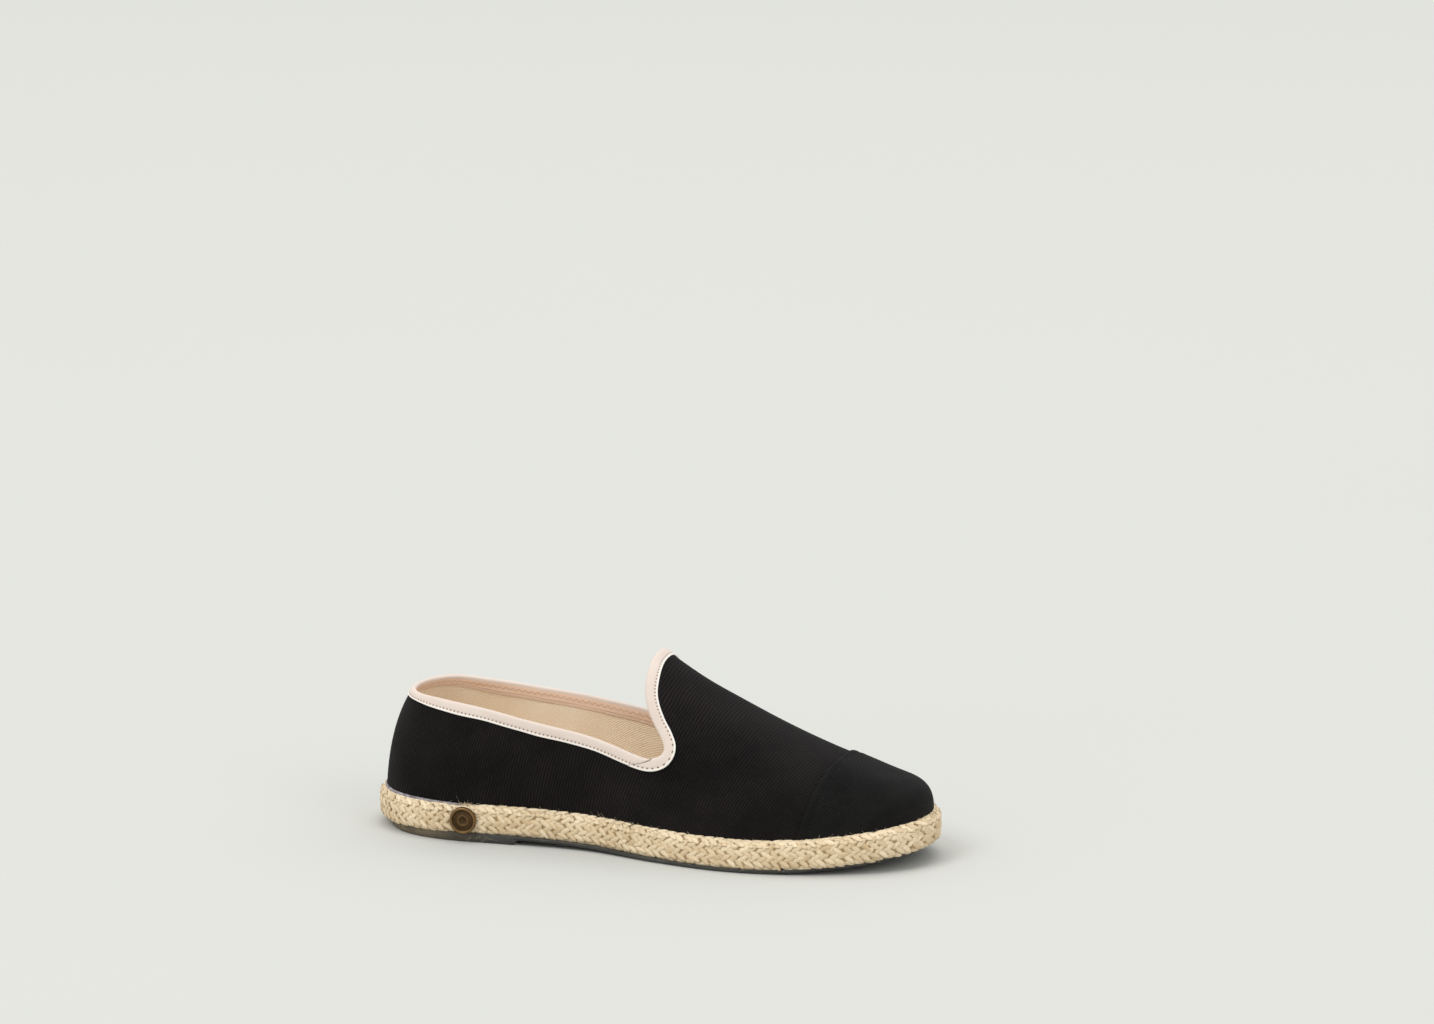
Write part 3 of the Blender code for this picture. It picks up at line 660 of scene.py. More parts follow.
def lengths_along(points):
    """Length from the first point to each of them."""
    steps = np.linalg.norm(np.diff(points, axis=0), axis=1)
    return np.concatenate([[0.0], np.cumsum(steps)])


def spaced(pairs, step):
    """The same line on the form with its (turn, rise) pairs an even step apart."""
    run = lengths_along(form(pairs[:, 0], pairs[:, 1]))
    places = np.linspace(0, run[-1], int(run[-1] / step) + 2)
    return np.stack([np.interp(places, run, pairs[:, part]) for part in (0, 1)], axis=1)


RIM_PAIRS = {side: spaced(rim_on_form(side), 1.2 * MM) for side in (-1, 1)}
print("opening, points a side:", [len(pairs) for pairs in RIM_PAIRS.values()])

# %% [markdown]
# ## Black ribbed canvas
# The cloth is a dense cotton with a rib, woven from black yarn, so almost no light comes back: the eye
# sees a dry black with a faint line in it. The rib is about 1.1 mm on the real cloth and is drawn at
# 1.4 mm so that the render can show it. Fine noise along the yarn breaks the lines, and a slow noise
# gives the grey of rubbed cloth.

# %% Canvas material
RIB_PITCH = 1.4 * MM
RIB_LEAN = 24.0 * MM


def ribbed_canvas(name, dark, light):
    """Black cotton woven with a rib; dry and rough, with a weak sheen from the fibre ends."""
    material, shader = new_material(name, 0.95, sheen=0.02)
    shader.inputs["Sheen Roughness"].default_value = 0.6
    shader.inputs["Specular IOR Level"].default_value = 0.12
    cloth = add_node(material, "UVMap", uv_map="metres")
    wobble = add_node(
        material, "TexNoise", {"Vector": cloth, "Scale": 90.0, "Detail": 2.0, "Roughness": 0.5}
    )
    stretched = add_node(
        material, "VectorMath", {0: cloth, 1: (1.0, 0.28, 1.0)}, operation="MULTIPLY"
    )
    yarn = add_node(
        material, "TexNoise", {"Vector": stretched, "Scale": 1600.0, "Detail": 3.0, "Roughness": 0.6}
    )
    worn = add_node(material, "TexNoise", {"Vector": cloth, "Scale": 22.0, "Detail": 5.0, "Roughness": 0.65})
    across = add_node(material, "SeparateXYZ", {0: cloth})
    turns = add_node(material, "Math", {0: across, 1: 2 * np.pi / RIB_PITCH}, operation="MULTIPLY")
    phase = add_node(material, "Math", {0: wobble, 1: 9.0, 2: turns}, operation="MULTIPLY_ADD")
    wave = add_node(material, "Math", {0: phase}, operation="SINE")
    rib = add_node(material, "MapRange", {0: wave, 1: -1.0, 2: 1.0, 3: 0.0, 4: 1.0})
    height = add_node(material, "Math", {0: yarn, 1: 0.9, 2: rib}, operation="MULTIPLY_ADD")
    shade = add_node(material, "Math", {0: rib, 1: 0.62}, operation="MULTIPLY")
    shade = add_node(material, "Math", {0: yarn, 1: 0.95, 2: shade}, operation="MULTIPLY_ADD")
    shade = add_node(material, "Math", {0: shade, 1: worn}, operation="MULTIPLY")
    shade = add_node(material, "MapRange", {0: shade, 1: 0.17, 2: 0.72, 3: 0.0, 4: 1.0})
    colour = add_node(
        material, "Mix", {0: shade, 6: linear(dark), 7: linear(light)}, out=2, data_type="RGBA"
    )
    return finish_material(material, shader, colour, height, depth=0.0002, strength=0.45)


canvas = ribbed_canvas("black_ribbed_canvas", "#020101", "#231f1e")
cap_cloth = ribbed_canvas("toe_cap_ribbed_canvas", "#020202", "#242322")
print("rib drawn every", round(RIB_PITCH / MM, 2), "mm")

# %% [markdown]
# ## Canvas upper
# The upper is one dome of cloth from sole to sole, with the opening taken out. A fine grid covers the whole
# form, and the part inside the opening is deleted; its stepped edge is under the tape. A few soft troughs
# and ridges are pressed in where worn cloth gives, and small pleats stand where it meets the sole.

# %% Soft shapes in the cloth
# Each one runs between two places on one side; depth and width in mm, and a negative depth is a ridge.
Dent = namedtuple("Dent", "side start_along start_rise end_along end_rise depth width")
DENTS = [
    Dent(-1, 0.500, 0.30, 0.430, 0.06, 0.55, 7.0),
    Dent(-1, 0.600, 0.55, 0.560, 0.12, 0.45, 8.0),
    Dent(-1, 0.330, 0.42, 0.290, 0.08, 0.35, 9.0),
    Dent(-1, 0.060, 0.50, 0.110, 0.12, 0.40, 8.0),
    Dent(-1, 0.700, 0.60, 0.690, 0.20, -0.35, 9.0),
    Dent(1, 0.520, 0.32, 0.460, 0.06, 0.70, 8.0),
    Dent(1, 0.350, 0.45, 0.300, 0.08, 0.50, 9.0),
    Dent(1, 0.640, 0.50, 0.600, 0.14, 0.45, 8.0),
    Dent(1, 0.080, 0.55, 0.120, 0.15, 0.45, 8.0),
]
PLEAT_DEPTH = 0.12 * MM
TAPE_HOLD = 12.0 * MM


def softness(turn, rise):
    """How far the cloth gives at each place, in metres, from the dents and the pleats at the sole."""
    places = form(turn, rise)
    offset = np.zeros(places.shape[:-1])
    for dent in DENTS:
        start = form(dent.side * turn_of(dent.start_along), dent.start_rise)
        end = form(dent.side * turn_of(dent.end_along), dent.end_rise)
        run = end - start
        share = np.clip(((places - start) @ run) / (run @ run), 0, 1)
        away = np.linalg.norm(places - start - share[..., None] * run, axis=-1)
        offset = offset - dent.depth * MM * np.exp(-((away / (dent.width * MM)) ** 2))
    along = LENGTH * along_of(turn)
    pleat = np.sin(along / (2.9 * MM) + 1.7 * np.sin(along / (11.0 * MM)))
    near_sole = np.exp(-((rise / 0.075) ** 2))
    held_by_tape = ease(depth_of_cloth(places) / TAPE_HOLD)
    return offset * held_by_tape + PLEAT_DEPTH * pleat * near_sole


print("troughs and ridges:", len(DENTS))

# %% Lay the canvas
CANVAS_ROWS = 230
CANVAS_COLUMNS = 151
CANVAS_WALL = 0.8 * MM
CUT_UNDER_TAPE = 0.9 * MM
INSIDE_FOOT = Vector((0.14, 0.0, 0.02))


def cloth_lengths(turn, rise, places):
    """UV in metres: along the shoe, square to the rib, and down from the ridge."""
    steps = np.linalg.norm(np.diff(places, axis=1), axis=-1)
    girth = np.concatenate([np.zeros((len(places), 1)), np.cumsum(steps, axis=1)], axis=1)
    middle = places.shape[1] // 2
    along = form(turn, rise)[..., 0] - RIB_LEAN * np.sin(rise * np.pi / 2)
    return np.stack([along, girth - girth[:, middle : middle + 1]], axis=-1)


def without_opening(mesh, places):
    """Deletes the points inside the opening."""
    inside = depth_of_cloth(places).reshape(-1) < CUT_UNDER_TAPE
    mesh.verts.ensure_lookup_table()
    gone = [mesh.verts[int(index)] for index in np.flatnonzero(inside)]
    bmesh.ops.delete(mesh, geom=gone, context="VERTS")


def lay_dome(rows, columns, inset):
    """Sheet over the whole form, from the outer sole edge over the ridge to the inner one, and cut open."""
    across = np.linspace(-1, 1, columns)
    turn = np.linspace(0, np.pi, rows)[:, None] * np.where(across < 0, -1.0, 1.0)
    rise = np.broadcast_to(1 - np.abs(across), turn.shape)
    places = skin(turn, rise, softness(turn, rise) - inset)
    mesh = lay_grid(places, cloth_lengths(turn, rise, places))
    without_opening(mesh, form(turn, rise))
    close_seams(mesh)
    face_out(mesh, INSIDE_FOOT)
    return mesh


mesh = lay_dome(CANVAS_ROWS, CANVAS_COLUMNS, 0.0)
upper = new_piece("canvas_upper", mesh, canvas, "canvas", "upper")
give_thickness(upper, CANVAS_WALL)

# %% [markdown]
# ## Lining
# Inside, the canvas is lined with a beige twill, glued to it. It is the same dome laid 0.86 mm further in.
# Twill shows slanting lines about 1 mm apart; they are drawn at 1.5 mm, because finer ones don't show.

# %% Twill
TWILL_PITCH = 1.5 * MM


def twill(name, dark, light, slant):
    """Unbleached cotton twill: soft, dry, with slanting lines and slubs in its yarn."""
    material, shader = new_material(name, 0.9, sheen=0.12)
    shader.inputs["Specular IOR Level"].default_value = 0.25
    cloth = add_node(material, "UVMap", uv_map="metres")
    along = add_node(material, "SeparateXYZ", {0: cloth})
    down = along.node.outputs["Y"]
    leaning = add_node(material, "Math", {0: down, 1: slant, 2: along}, operation="MULTIPLY_ADD")
    wobble = add_node(material, "TexNoise", {"Vector": cloth, "Scale": 160.0, "Detail": 2.0})
    yarn = add_node(
        material, "TexNoise", {"Vector": cloth, "Scale": 1500.0, "Detail": 3.0, "Roughness": 0.6}
    )
    stain = add_node(material, "TexNoise", {"Vector": cloth, "Scale": 30.0, "Detail": 4.0})
    turns = add_node(material, "Math", {0: leaning, 1: 2 * np.pi / TWILL_PITCH}, operation="MULTIPLY")
    phase = add_node(material, "Math", {0: wobble, 1: 5.0, 2: turns}, operation="MULTIPLY_ADD")
    wave = add_node(material, "Math", {0: phase}, operation="SINE")
    line = add_node(material, "MapRange", {0: wave, 1: -1.0, 2: 0.6, 3: 0.0, 4: 1.0})
    height = add_node(material, "Math", {0: yarn, 1: 0.7, 2: line}, operation="MULTIPLY_ADD")
    shade = add_node(material, "Math", {0: line, 1: 0.45}, operation="MULTIPLY")
    shade = add_node(material, "Math", {0: yarn, 1: 0.7, 2: shade}, operation="MULTIPLY_ADD")
    shade = add_node(material, "Math", {0: stain, 1: 0.4, 2: shade}, operation="MULTIPLY_ADD")
    shade = add_node(material, "MapRange", {0: shade, 1: 0.45, 2: 1.15, 3: 0.0, 4: 1.0})
    colour = add_node(
        material, "Mix", {0: shade, 6: linear(dark), 7: linear(light)}, out=2, data_type="RGBA"
    )
    return finish_material(material, shader, colour, height, depth=0.0002, strength=0.5)


# %% Lay the lining
LINING_ROWS = 150
LINING_COLUMNS = 121
LINING_INSET = 0.86 * MM
LINING_WALL = 0.7 * MM
lining_cloth = twill("beige_cotton_twill", "#e4c79f", "#fffaeb", 1.0)
mesh = lay_dome(LINING_ROWS, LINING_COLUMNS, LINING_INSET)
lining = new_piece("twill_lining", mesh, lining_cloth, "insole_cloth", "upper")
give_thickness(lining, LINING_WALL)

# %% [markdown]
# ## Toe cap
# A second layer of the same canvas lies over the toe. Its heel-side edge is turned under, which makes a
# round raised fold, and one line of stitches 2 mm behind the fold draws it down in small puckers. The
# sheet's height above the vamp is a function of the distance from that edge.

# %% Toe cap
CAP_STITCH = 2.0 * MM
CAP_STITCH_LINE = 2.0 * MM
CAP_FOLD = 0.9 * MM
CAP_CLOTH = 0.36 * MM
CAP_REACH = 0.048


def cap_start(rise):
    """Turn at which the toe cap begins on this row, further forward on the ridge than at the sole."""
    place = LENGTH * (CAP_SIDE + (CAP_RIDGE - CAP_SIDE) * np.sin(rise * np.pi / 2))
    turns = np.linspace(0, np.pi, 400)
    return crossing(form(turns, rise)[:, 0] - place, turns)


cap_across = np.linspace(-1, 1, 181)
cap_rise = 1 - np.abs(cap_across)
starts = np.array([cap_start(rise) for rise in cap_rise])
near_edge = np.array([0.0, 0.08, 0.2, 0.36, 0.56, 0.8, 1.1, 1.4, 1.7, 2.0, 2.3, 2.6, 3.0, 3.5, 4.1]) * MM
cap_share = np.concatenate([near_edge / CAP_REACH, np.linspace(4.8 * MM / CAP_REACH, 1, 70)])
turn = (starts + (np.pi - starts) * cap_share[:, None]) * np.where(cap_across < 0, -1.0, 1.0)
rise = np.broadcast_to(cap_rise, turn.shape)
from_edge = cap_share[:, None] * CAP_REACH
bare = form(turn, rise)
metres = cloth_lengths(turn, rise, bare)
fold = np.sqrt(1 - (1 - np.clip(from_edge / CAP_FOLD, 0, 1)) ** 2)
stitch = 0.5 + 0.5 * np.cos(2 * np.pi * metres[..., 1] / CAP_STITCH)
groove = np.exp(-(((from_edge - CAP_STITCH_LINE) / (0.5 * MM)) ** 2))
pucker = np.exp(-(((from_edge - 2.4 * MM) / (1.5 * MM)) ** 2))
toe_pleats = np.sin(metres[..., 0] / (1.9 * MM)) * np.exp(-((rise / 0.07) ** 2))
height = 0.38 + 0.82 * fold - 0.46 * groove * (0.40 + 0.60 * stitch)
height = height + 0.12 * pucker * np.cos(2 * np.pi * metres[..., 1] / CAP_STITCH + 2.2)
height = height + 0.10 * toe_pleats * ease(from_edge / (8 * MM))
mesh = lay_grid(skin(turn, rise, height * MM), metres)
close_seams(mesh)
face_out(mesh, Vector((0.22, 0.0, 0.0)))
cap = new_piece("toe_cap_canvas", mesh, cap_cloth, "cap_canvas", "toe_cap")
give_thickness(cap, CAP_CLOTH)

# %% [markdown]
# ## Cotton tape round the opening
# A straight tape is folded over the cut edge and sewn through near its lower edge. Its section, folded
# double, is one closed ring of points; a grid carries that ring along the rim and is closed into a tube.
# The quarters' tape goes round the heel, and the vamp's tape laps over it with a slanting end.

# %% Section of the folded tape
# Each point: its share of the tape's width down the cloth and the mm beyond that, the mm out of the cloth,
# and the two directions in which a lap pushes it.
Section = namedtuple("Section", "share below offset out_below out_offset")
TAPE_SECTION = [
    Section(1.00, 0.00, 0.05, 0, 0),
    Section(1.02, 0.00, 0.22, 0, 1),
    Section(1.01, 0.00, 0.48, 0, 1),
    Section(0.96, 0.00, 0.66, 0, 1),
    Section(0.90, 0.00, 0.68, 0, 1),
    Section(0.85, 0.00, 0.58, 0, 1),
    Section(0.80, 0.00, 0.40, 0, 1),
    Section(0.76, 0.00, 0.36, 0, 1),
    Section(0.72, 0.00, 0.42, 0, 1),
    Section(0.66, 0.00, 0.52, 0, 1),
    Section(0.56, 0.00, 0.58, 0, 1),
    Section(0.42, 0.00, 0.60, 0, 1),
    Section(0.28, 0.00, 0.58, 0, 1),
    Section(0.15, 0.00, 0.52, 0, 1),
    Section(0.05, 0.00, 0.40, 0, 1),
    Section(0.00, -0.30, 0.14, -0.7, 0.7),
    Section(0.00, -0.52, -0.30, -1, 0.3),
    Section(0.00, -0.58, -0.75, -1, 0),
    Section(0.00, -0.52, -1.20, -1, 0),
    Section(0.00, -0.30, -1.62, -0.7, -0.7),
    Section(0.05, 0.00, -1.86, 0, -1),
    Section(0.25, 0.00, -2.02, 0, -1),
    Section(0.50, 0.00, -2.06, 0, -1),
    Section(0.74, 0.00, -2.02, 0, -1),
    Section(0.84, 0.00, -1.92, 0, -1),
    Section(0.93, 0.00, -2.02, 0, -1),
    Section(1.00, 0.00, -1.96, 0, -1),
    Section(1.02, 0.00, -1.80, 0, -1),
    Section(0.96, 0.00, -1.64, 0, 0),
    Section(0.50, 0.00, -1.63, 0, 0),
    Section(0.10, 0.00, -1.61, 0, 0),
    Section(0.02, 0.00, -1.20, 0, 0),
    Section(0.02, 0.00, -0.50, 0, 0),
    Section(0.10, 0.00, 0.03, 0, 0),
    Section(0.50, 0.00, 0.03, 0, 0),
    Section(0.92, 0.00, 0.03, 0, 0),
]
TAPE_WIDTH = 5.2 * MM
TAPE_HEEL_WIDTH = 3.6 * MM
TAPE_WIDENING = 0.16
TAPE_STITCH = 2.0 * MM
STITCH_ROW = 0.76
QUARTER_END = 0.540
THROAT_END = 0.487
LAP_SLANT = 11.0 * MM
LAP_LIFT = 0.50 * MM
LAP_FADE = 26.0 * MM
CUT_EDGE_RINGS = 1.6
print("points in the tape's ring:", len(TAPE_SECTION))

# %% [markdown]
# A line on the form is kept with its length and, at each of its places, the direction down the cloth. Two
# lines can follow on, as at the ridge, where the vamp's tape passes from one side of the form to the other.

# %% Lines on the form
Line = namedtuple("Line", "run turn rise down")


def line_on_form(pairs):
    """A line on the form with its run in metres and, at each place, the direction down the cloth."""
    turn, rise = pairs.T
    edge = form(turn, rise)
    heading = np.gradient(edge, axis=0)
    heading = heading / np.linalg.norm(heading, axis=1, keepdims=True)
    normal = skin(turn, rise, 1.0) - edge
    down = np.cross(normal, heading)
    down = down / np.linalg.norm(down, axis=1, keepdims=True)
    return Line(lengths_along(edge), turn, rise, down)


def read_lines(lines, run):
    """Turn, rise and down direction at these runs along one line, or along two that follow on."""
    turn = np.zeros_like(run)
    rise = np.zeros_like(run)
    down = np.zeros(run.shape + (3,))
    start = 0.0
    for line in lines:
        here = run >= start - 1e-9
        at = run[here] - start
        turn[here] = np.interp(at, line.run, line.turn)
        rise[here] = np.interp(at, line.run, line.rise)
        down[here] = np.stack([np.interp(at, line.run, line.down[:, part]) for part in range(3)], axis=-1)
        start = start + line.run[-1]
    return turn, rise, down


def move_on_form(turn, rise, wanted):
    """(turn, rise) of the points of the form nearest to these moved by the wanted vectors."""
    goal = form(turn, rise) + wanted
    for _ in range(5):
        left = goal - form(turn, rise)
        by_turn = (form(turn + SMALL, rise) - form(turn - SMALL, rise)) / (2 * SMALL)
        by_rise = (form(turn, rise + SMALL) - form(turn, rise - SMALL)) / (2 * SMALL)
        both = (by_turn * by_rise).sum(-1)
        turn_size = (by_turn**2).sum(-1)
        rise_size = (by_rise**2).sum(-1)
        turn_share = (left * by_turn).sum(-1)
        rise_share = (left * by_rise).sum(-1)
        spread = turn_size * rise_size - both**2
        turn = turn + (turn_share * rise_size - rise_share * both) / spread
        rise = rise + (rise_share * turn_size - turn_share * both) / spread
    return turn, rise


# %% [markdown]
# The ring is then carried along the line: each point goes down the cloth by its share of the width, and out
# of it by its offset. Needle holes pinch the outer flap. At a lap the ends slant and lift over the other
# tape, and the last rings are marked in an attribute which the material draws darker: the raw cut edge, and
# a painted shadow of the step where one tape lies over the other.

# %% Carry a ring along the rim
def sweep_tape(lines, section, step, lap=0.0):
    """Closed tube of the section's ring along the lines; lap slants and lifts both ends."""
    total = sum(line.run[-1] for line in lines)
    stations = np.linspace(0, total, int(total / step) + 1)
    rows = section + section[:1]
    share, below, offset, out_below, out_offset = (
        np.array([row[part] for row in rows], float) for part in range(5)
    )
    to_end = np.minimum(stations, total - stations)
    fade = lap * (1 - ease(to_end / LAP_FADE))
    toward = np.where(stations < total / 2, 1.0, -1.0)
    run = stations[:, None] + (toward * fade)[:, None] * LAP_SLANT * (1 - np.clip(share, 0, 1))
    turn, rise, down = read_lines(lines, np.clip(run, 0, total))
    widening = ease(along_of(turn) / TAPE_WIDENING)
    width = TAPE_HEEL_WIDTH + (TAPE_WIDTH - TAPE_HEEL_WIDTH) * widening
    lift = (fade * LAP_LIFT)[:, None]
    sway = 0.10 * np.sin(run / (7.3 * MM)) + 0.07 * np.sin(run / (3.1 * MM) + 1.0)
    under = share * (width + sway * MM) + below * MM + lift * out_below
    pinch = np.exp(-(((share - STITCH_ROW) / 0.07) ** 2)) * (np.abs(out_offset) > 0.5)
    hole = 0.5 + 0.5 * np.cos(2 * np.pi * run / TAPE_STITCH)
    puffed = 0.05 * np.sin(run / (4.3 * MM) + 6 * share) - pinch * (0.16 * hole**2 - 0.04)
    out = offset * MM + lift * out_offset + puffed * MM * out_offset
    at_turn, at_rise = move_on_form(turn, rise, down * under[..., None])
    places = skin(at_turn, at_rise, out)
    mesh = lay_grid(places, np.stack([run, np.broadcast_to(section_shares(rows), run.shape)], axis=-1))
    # The rings at each end are marked for darkening: the raw cut edge and a painted shadow of the lap's
    # step.
    cut_edge_and_shade = mesh.verts.layers.float.new("cut_edge_and_shade")
    for index, vertex in enumerate(mesh.verts):
        vertex[cut_edge_and_shade] = float(to_end[index // len(rows)] < CUT_EDGE_RINGS * step)
    close_tube(mesh)
    return mesh


def section_shares(rows):
    """V of each point of a section: 0 at the outer edge, 1 at the fold, 2 at the inner edge."""
    return np.array([1 - min(row.share, 1) if row.offset > -0.7 else 1 + row.share for row in rows])


# %% [markdown]
# The tape is an off-white cotton with a fine plain weave. Every 2 mm in the outer flap a needle hole is
# drawn as a dark dot, painted shade in the hole. The inner flap is a warmer peach, and a zigzag stitch holds
# it;
# its pale thread is drawn as a darker line, painted shade along the thread. V is 0 at the outer edge of
# the tape, 1 at the fold and 2 at the inner edge, so both patterns can be placed by it. The zigzag's thread
# is about 0.25 mm thick on the real tape and is drawn at 0.5 mm, so that it shows.

# %% Tape material
ZIGZAG_LEG = 1.6 * MM
ZIGZAG_FROM = 1.45
ZIGZAG_TO = 1.69


def binding_tape(name, outside, edge_colour, inside):
    """Off-white cotton tape: matt, slightly soft, with needle holes outside and a zigzag inside, both drawn
    dark as painted shade.
    """
    material, shader = new_material(name, 0.85, sheen=0.1)
    shader.inputs["Specular IOR Level"].default_value = 0.3
    cloth = add_node(material, "UVMap", uv_map="metres")
    along = add_node(material, "SeparateXYZ", {0: cloth})
    across = along.node.outputs["Y"]
    scaled = add_node(material, "VectorMath", {0: cloth, 1: (1.0, TAPE_WIDTH, 1.0)}, operation="MULTIPLY")
    weave = add_node(material, "TexNoise", {"Vector": scaled, "Scale": 2200.0, "Detail": 2.0})
    soil = add_node(material, "TexNoise", {"Vector": scaled, "Scale": 70.0, "Detail": 4.0})
    inner = add_node(material, "MapRange", {0: across, 1: 1.14, 2: 1.20, 3: 0.0, 4: 1.0})
    rim = add_node(material, "MapRange", {0: across, 1: 0.10, 2: 0.17, 3: 1.0, 4: 0.0})
    colour = add_node(
        material, "Mix", {0: soil, 6: linear(outside), 7: linear("#dbcabd")}, out=2, data_type="RGBA"
    )
    colour = add_node(
        material, "Mix", {0: rim, 6: colour, 7: linear(edge_colour)}, out=2, data_type="RGBA"
    )
    colour = add_node(material, "Mix", {0: inner, 6: colour, 7: linear(inside)}, out=2, data_type="RGBA")
    steps = add_node(material, "Math", {0: along, 1: 1 / TAPE_STITCH}, operation="MULTIPLY")
    place = add_node(material, "Math", {0: steps, 1: 0.5}, operation="PINGPONG")
    aside_m = add_node(material, "Math", {0: place, 1: TAPE_STITCH / MM}, operation="MULTIPLY")
    row = add_node(material, "Math", {0: across, 1: 1 - STITCH_ROW}, operation="SUBTRACT")
    row = add_node(material, "Math", {0: row, 1: TAPE_WIDTH / MM}, operation="MULTIPLY")
    away = add_node(material, "CombineXYZ", {0: aside_m, 1: row})
    away = add_node(material, "VectorMath", {0: away}, out=1, operation="LENGTH")
    ragged = add_node(material, "Math", {0: weave, 1: 0.35, 2: away}, operation="MULTIPLY_ADD")
    # Needle holes: dark dots that are painted shade in the holes.
    hole = add_node(material, "MapRange", {0: ragged, 1: 0.42, 2: 0.66, 3: 0.85, 4: 0.0})
    steepness = (ZIGZAG_TO - ZIGZAG_FROM) / ZIGZAG_LEG
    zigzag = add_node(material, "Math", {0: along, 1: ZIGZAG_LEG}, operation="PINGPONG")
    zigzag = add_node(material, "Math", {0: zigzag, 1: steepness, 2: ZIGZAG_FROM}, operation="MULTIPLY_ADD")
    zigzag = add_node(material, "Math", {0: across, 1: zigzag}, operation="SUBTRACT")
    zigzag = add_node(material, "Math", {0: zigzag}, operation="ABSOLUTE")
    # The zigzag is drawn as a darker line: painted shade along its pale thread.
    zigzag_thread_shade = add_node(material, "MapRange", {0: zigzag, 1: 0.03, 2: 0.09, 3: 0.30, 4: 0.0})
    stitch_shade_and_cut_edge = add_node(material, "Math", {0: hole, 1: zigzag_thread_shade}, operation="MAXIMUM")
    # Cut ends drawn darker: the raw cut edge, and painted shadow of the step where one tape lies over the
    # other.
    cut = add_node(material, "Attribute", out=2, attribute_name="cut_edge_and_shade")
    cut = add_node(material, "Math", {0: cut, 1: 0.65}, operation="MULTIPLY")
    stitch_shade_and_cut_edge = add_node(material, "Math", {0: stitch_shade_and_cut_edge, 1: cut}, operation="MAXIMUM")
    # Holes, zigzag and cut ends all darken toward one brown: painted shade, and the raw cut edge at the
    # ends.
    colour = add_node(material, "Mix", {0: stitch_shade_and_cut_edge, 6: colour, 7: linear("#5a4a40")}, out=2, data_type="RGBA")
    height = add_node(material, "Math", {0: stitch_shade_and_cut_edge, 1: -1.5, 2: weave}, operation="MULTIPLY_ADD")
    return finish_material(material, shader, colour, height, depth=0.00015, strength=0.4)


cotton_tape = binding_tape("off_white_cotton_tape", "#e8dbd1", "#f8f2ea", "#f1d4bd")
print("needle holes every", round(TAPE_STITCH / MM, 2), "mm")

# %% Quarters' tape and the vamp's tape over it
TAPE_STEP = 0.5 * MM


def side_pairs(side, first, last):
    """The opening's pairs on one side between two shares of the length, None for the heel or the ridge."""
    pairs = RIM_PAIRS[side]
    x = form(pairs[:, 0], pairs[:, 1])[:, 0] / LENGTH
    begin = 0 if first is None else int(np.argmax(x > first))
    finish_at = len(pairs) if last is None else int(np.argmax(x > last))
    return pairs[begin:finish_at]


quarter = np.concatenate([side_pairs(-1, None, QUARTER_END)[::-1], side_pairs(1, None, QUARTER_END)[1:]])
mesh = sweep_tape([line_on_form(quarter)], TAPE_SECTION, TAPE_STEP)
new_piece("quarter_tape", mesh, cotton_tape, "cotton_tape", "topline_binding")
vamp_lines = [
    line_on_form(side_pairs(1, THROAT_END, None)),
    line_on_form(side_pairs(-1, THROAT_END, None)[::-1]),
]
mesh = sweep_tape(vamp_lines, TAPE_SECTION, TAPE_STEP, lap=1.0)
new_piece("vamp_tape", mesh, cotton_tape, "cotton_tape", "throat_binding")

# %% [markdown]
# Below the inner flap the photograph shows the turned edge of a facing, a thin line that follows the rim.
# It is the same sweep with a flat section that starts at the tape's inner edge and ends 1.7 mm below it.

# %% Facing inside the rim
FACING_SECTION = [
    Section(1.04, 0.00, -1.60, 0, 0),
    Section(1.14, 0.00, -1.60, 0, 0),
    Section(1.26, 0.00, -1.60, 0, 0),
    Section(1.32, 0.00, -1.78, 0, 0),
    Section(1.31, 0.00, -2.02, 0, 0),
    Section(1.26, 0.00, -2.10, 0, 0),
    Section(1.18, 0.00, -2.02, 0, 0),
    Section(1.10, 0.00, -1.96, 0, 0),
    Section(1.04, 0.00, -1.90, 0, 0),
]
facing_cloth = twill("peach_facing_cloth", "#e0bea2", "#fde6d2", 0.35)
mesh = sweep_tape([line_on_form(quarter)], FACING_SECTION, 3 * TAPE_STEP)
new_piece("inner_facing", mesh, facing_cloth, "insole_cloth", "topline_binding")

# %% [markdown]
# ## Sole layers
# The jute and the rubber are slabs between two heights, with a side wall that follows a short table. One
# grid goes round the whole outline, with the table's rows as its columns and a centre line at each end, and
# closes on itself when its doubled points are joined.

# %% A slab between two heights
def slab(walls, bottom, top, inset, turns):
    """Closed slab over the sole's outline between two height functions."""
    loop = np.concatenate([-turns[::-1], turns[1:]])
    columns = []
    for wall in [walls[0], *walls, walls[-1]]:
        x, y = outline(loop, inset(np.abs(loop)) + wall.inset)
        z = bottom(x) + (top(x) - bottom(x)) * wall.height
        columns.append(np.stack([x, y, z], axis=-1))
    for index, near in ((0, 1), (-1, -2)):
        x = (columns[near][:, 0] + columns[near][::-1, 0]) / 2
        height = walls[0 if index == 0 else -1].height
        z = bottom(x) + (top(x) - bottom(x)) * height
        columns[index] = np.stack([x, np.zeros_like(x), z], axis=-1)
    places = np.stack(columns, axis=1)
    around = lengths_along(places[:, 3])
    up = np.arange(places.shape[1]) * 2 * MM
    metres = np.stack(np.meshgrid(around, up, indexing="ij"), axis=-1)
    mesh = lay_grid(places, metres)
    close_seams(mesh)
    return mesh


SOLE_STATIONS = np.linspace(0, np.pi, 150)
print("stations along the sole:", len(SOLE_STATIONS))

# %% [markdown]
# ## Rubber outsole
# Black rubber, moulded and then ground at the edge: dark grey, dull, with fine scratches and a light dust.
# The surface is nearly smooth, so a fine grain on Object coordinates is enough, plus pale rub marks. Dust
# from the jute makes it browner toward the back of the heel.

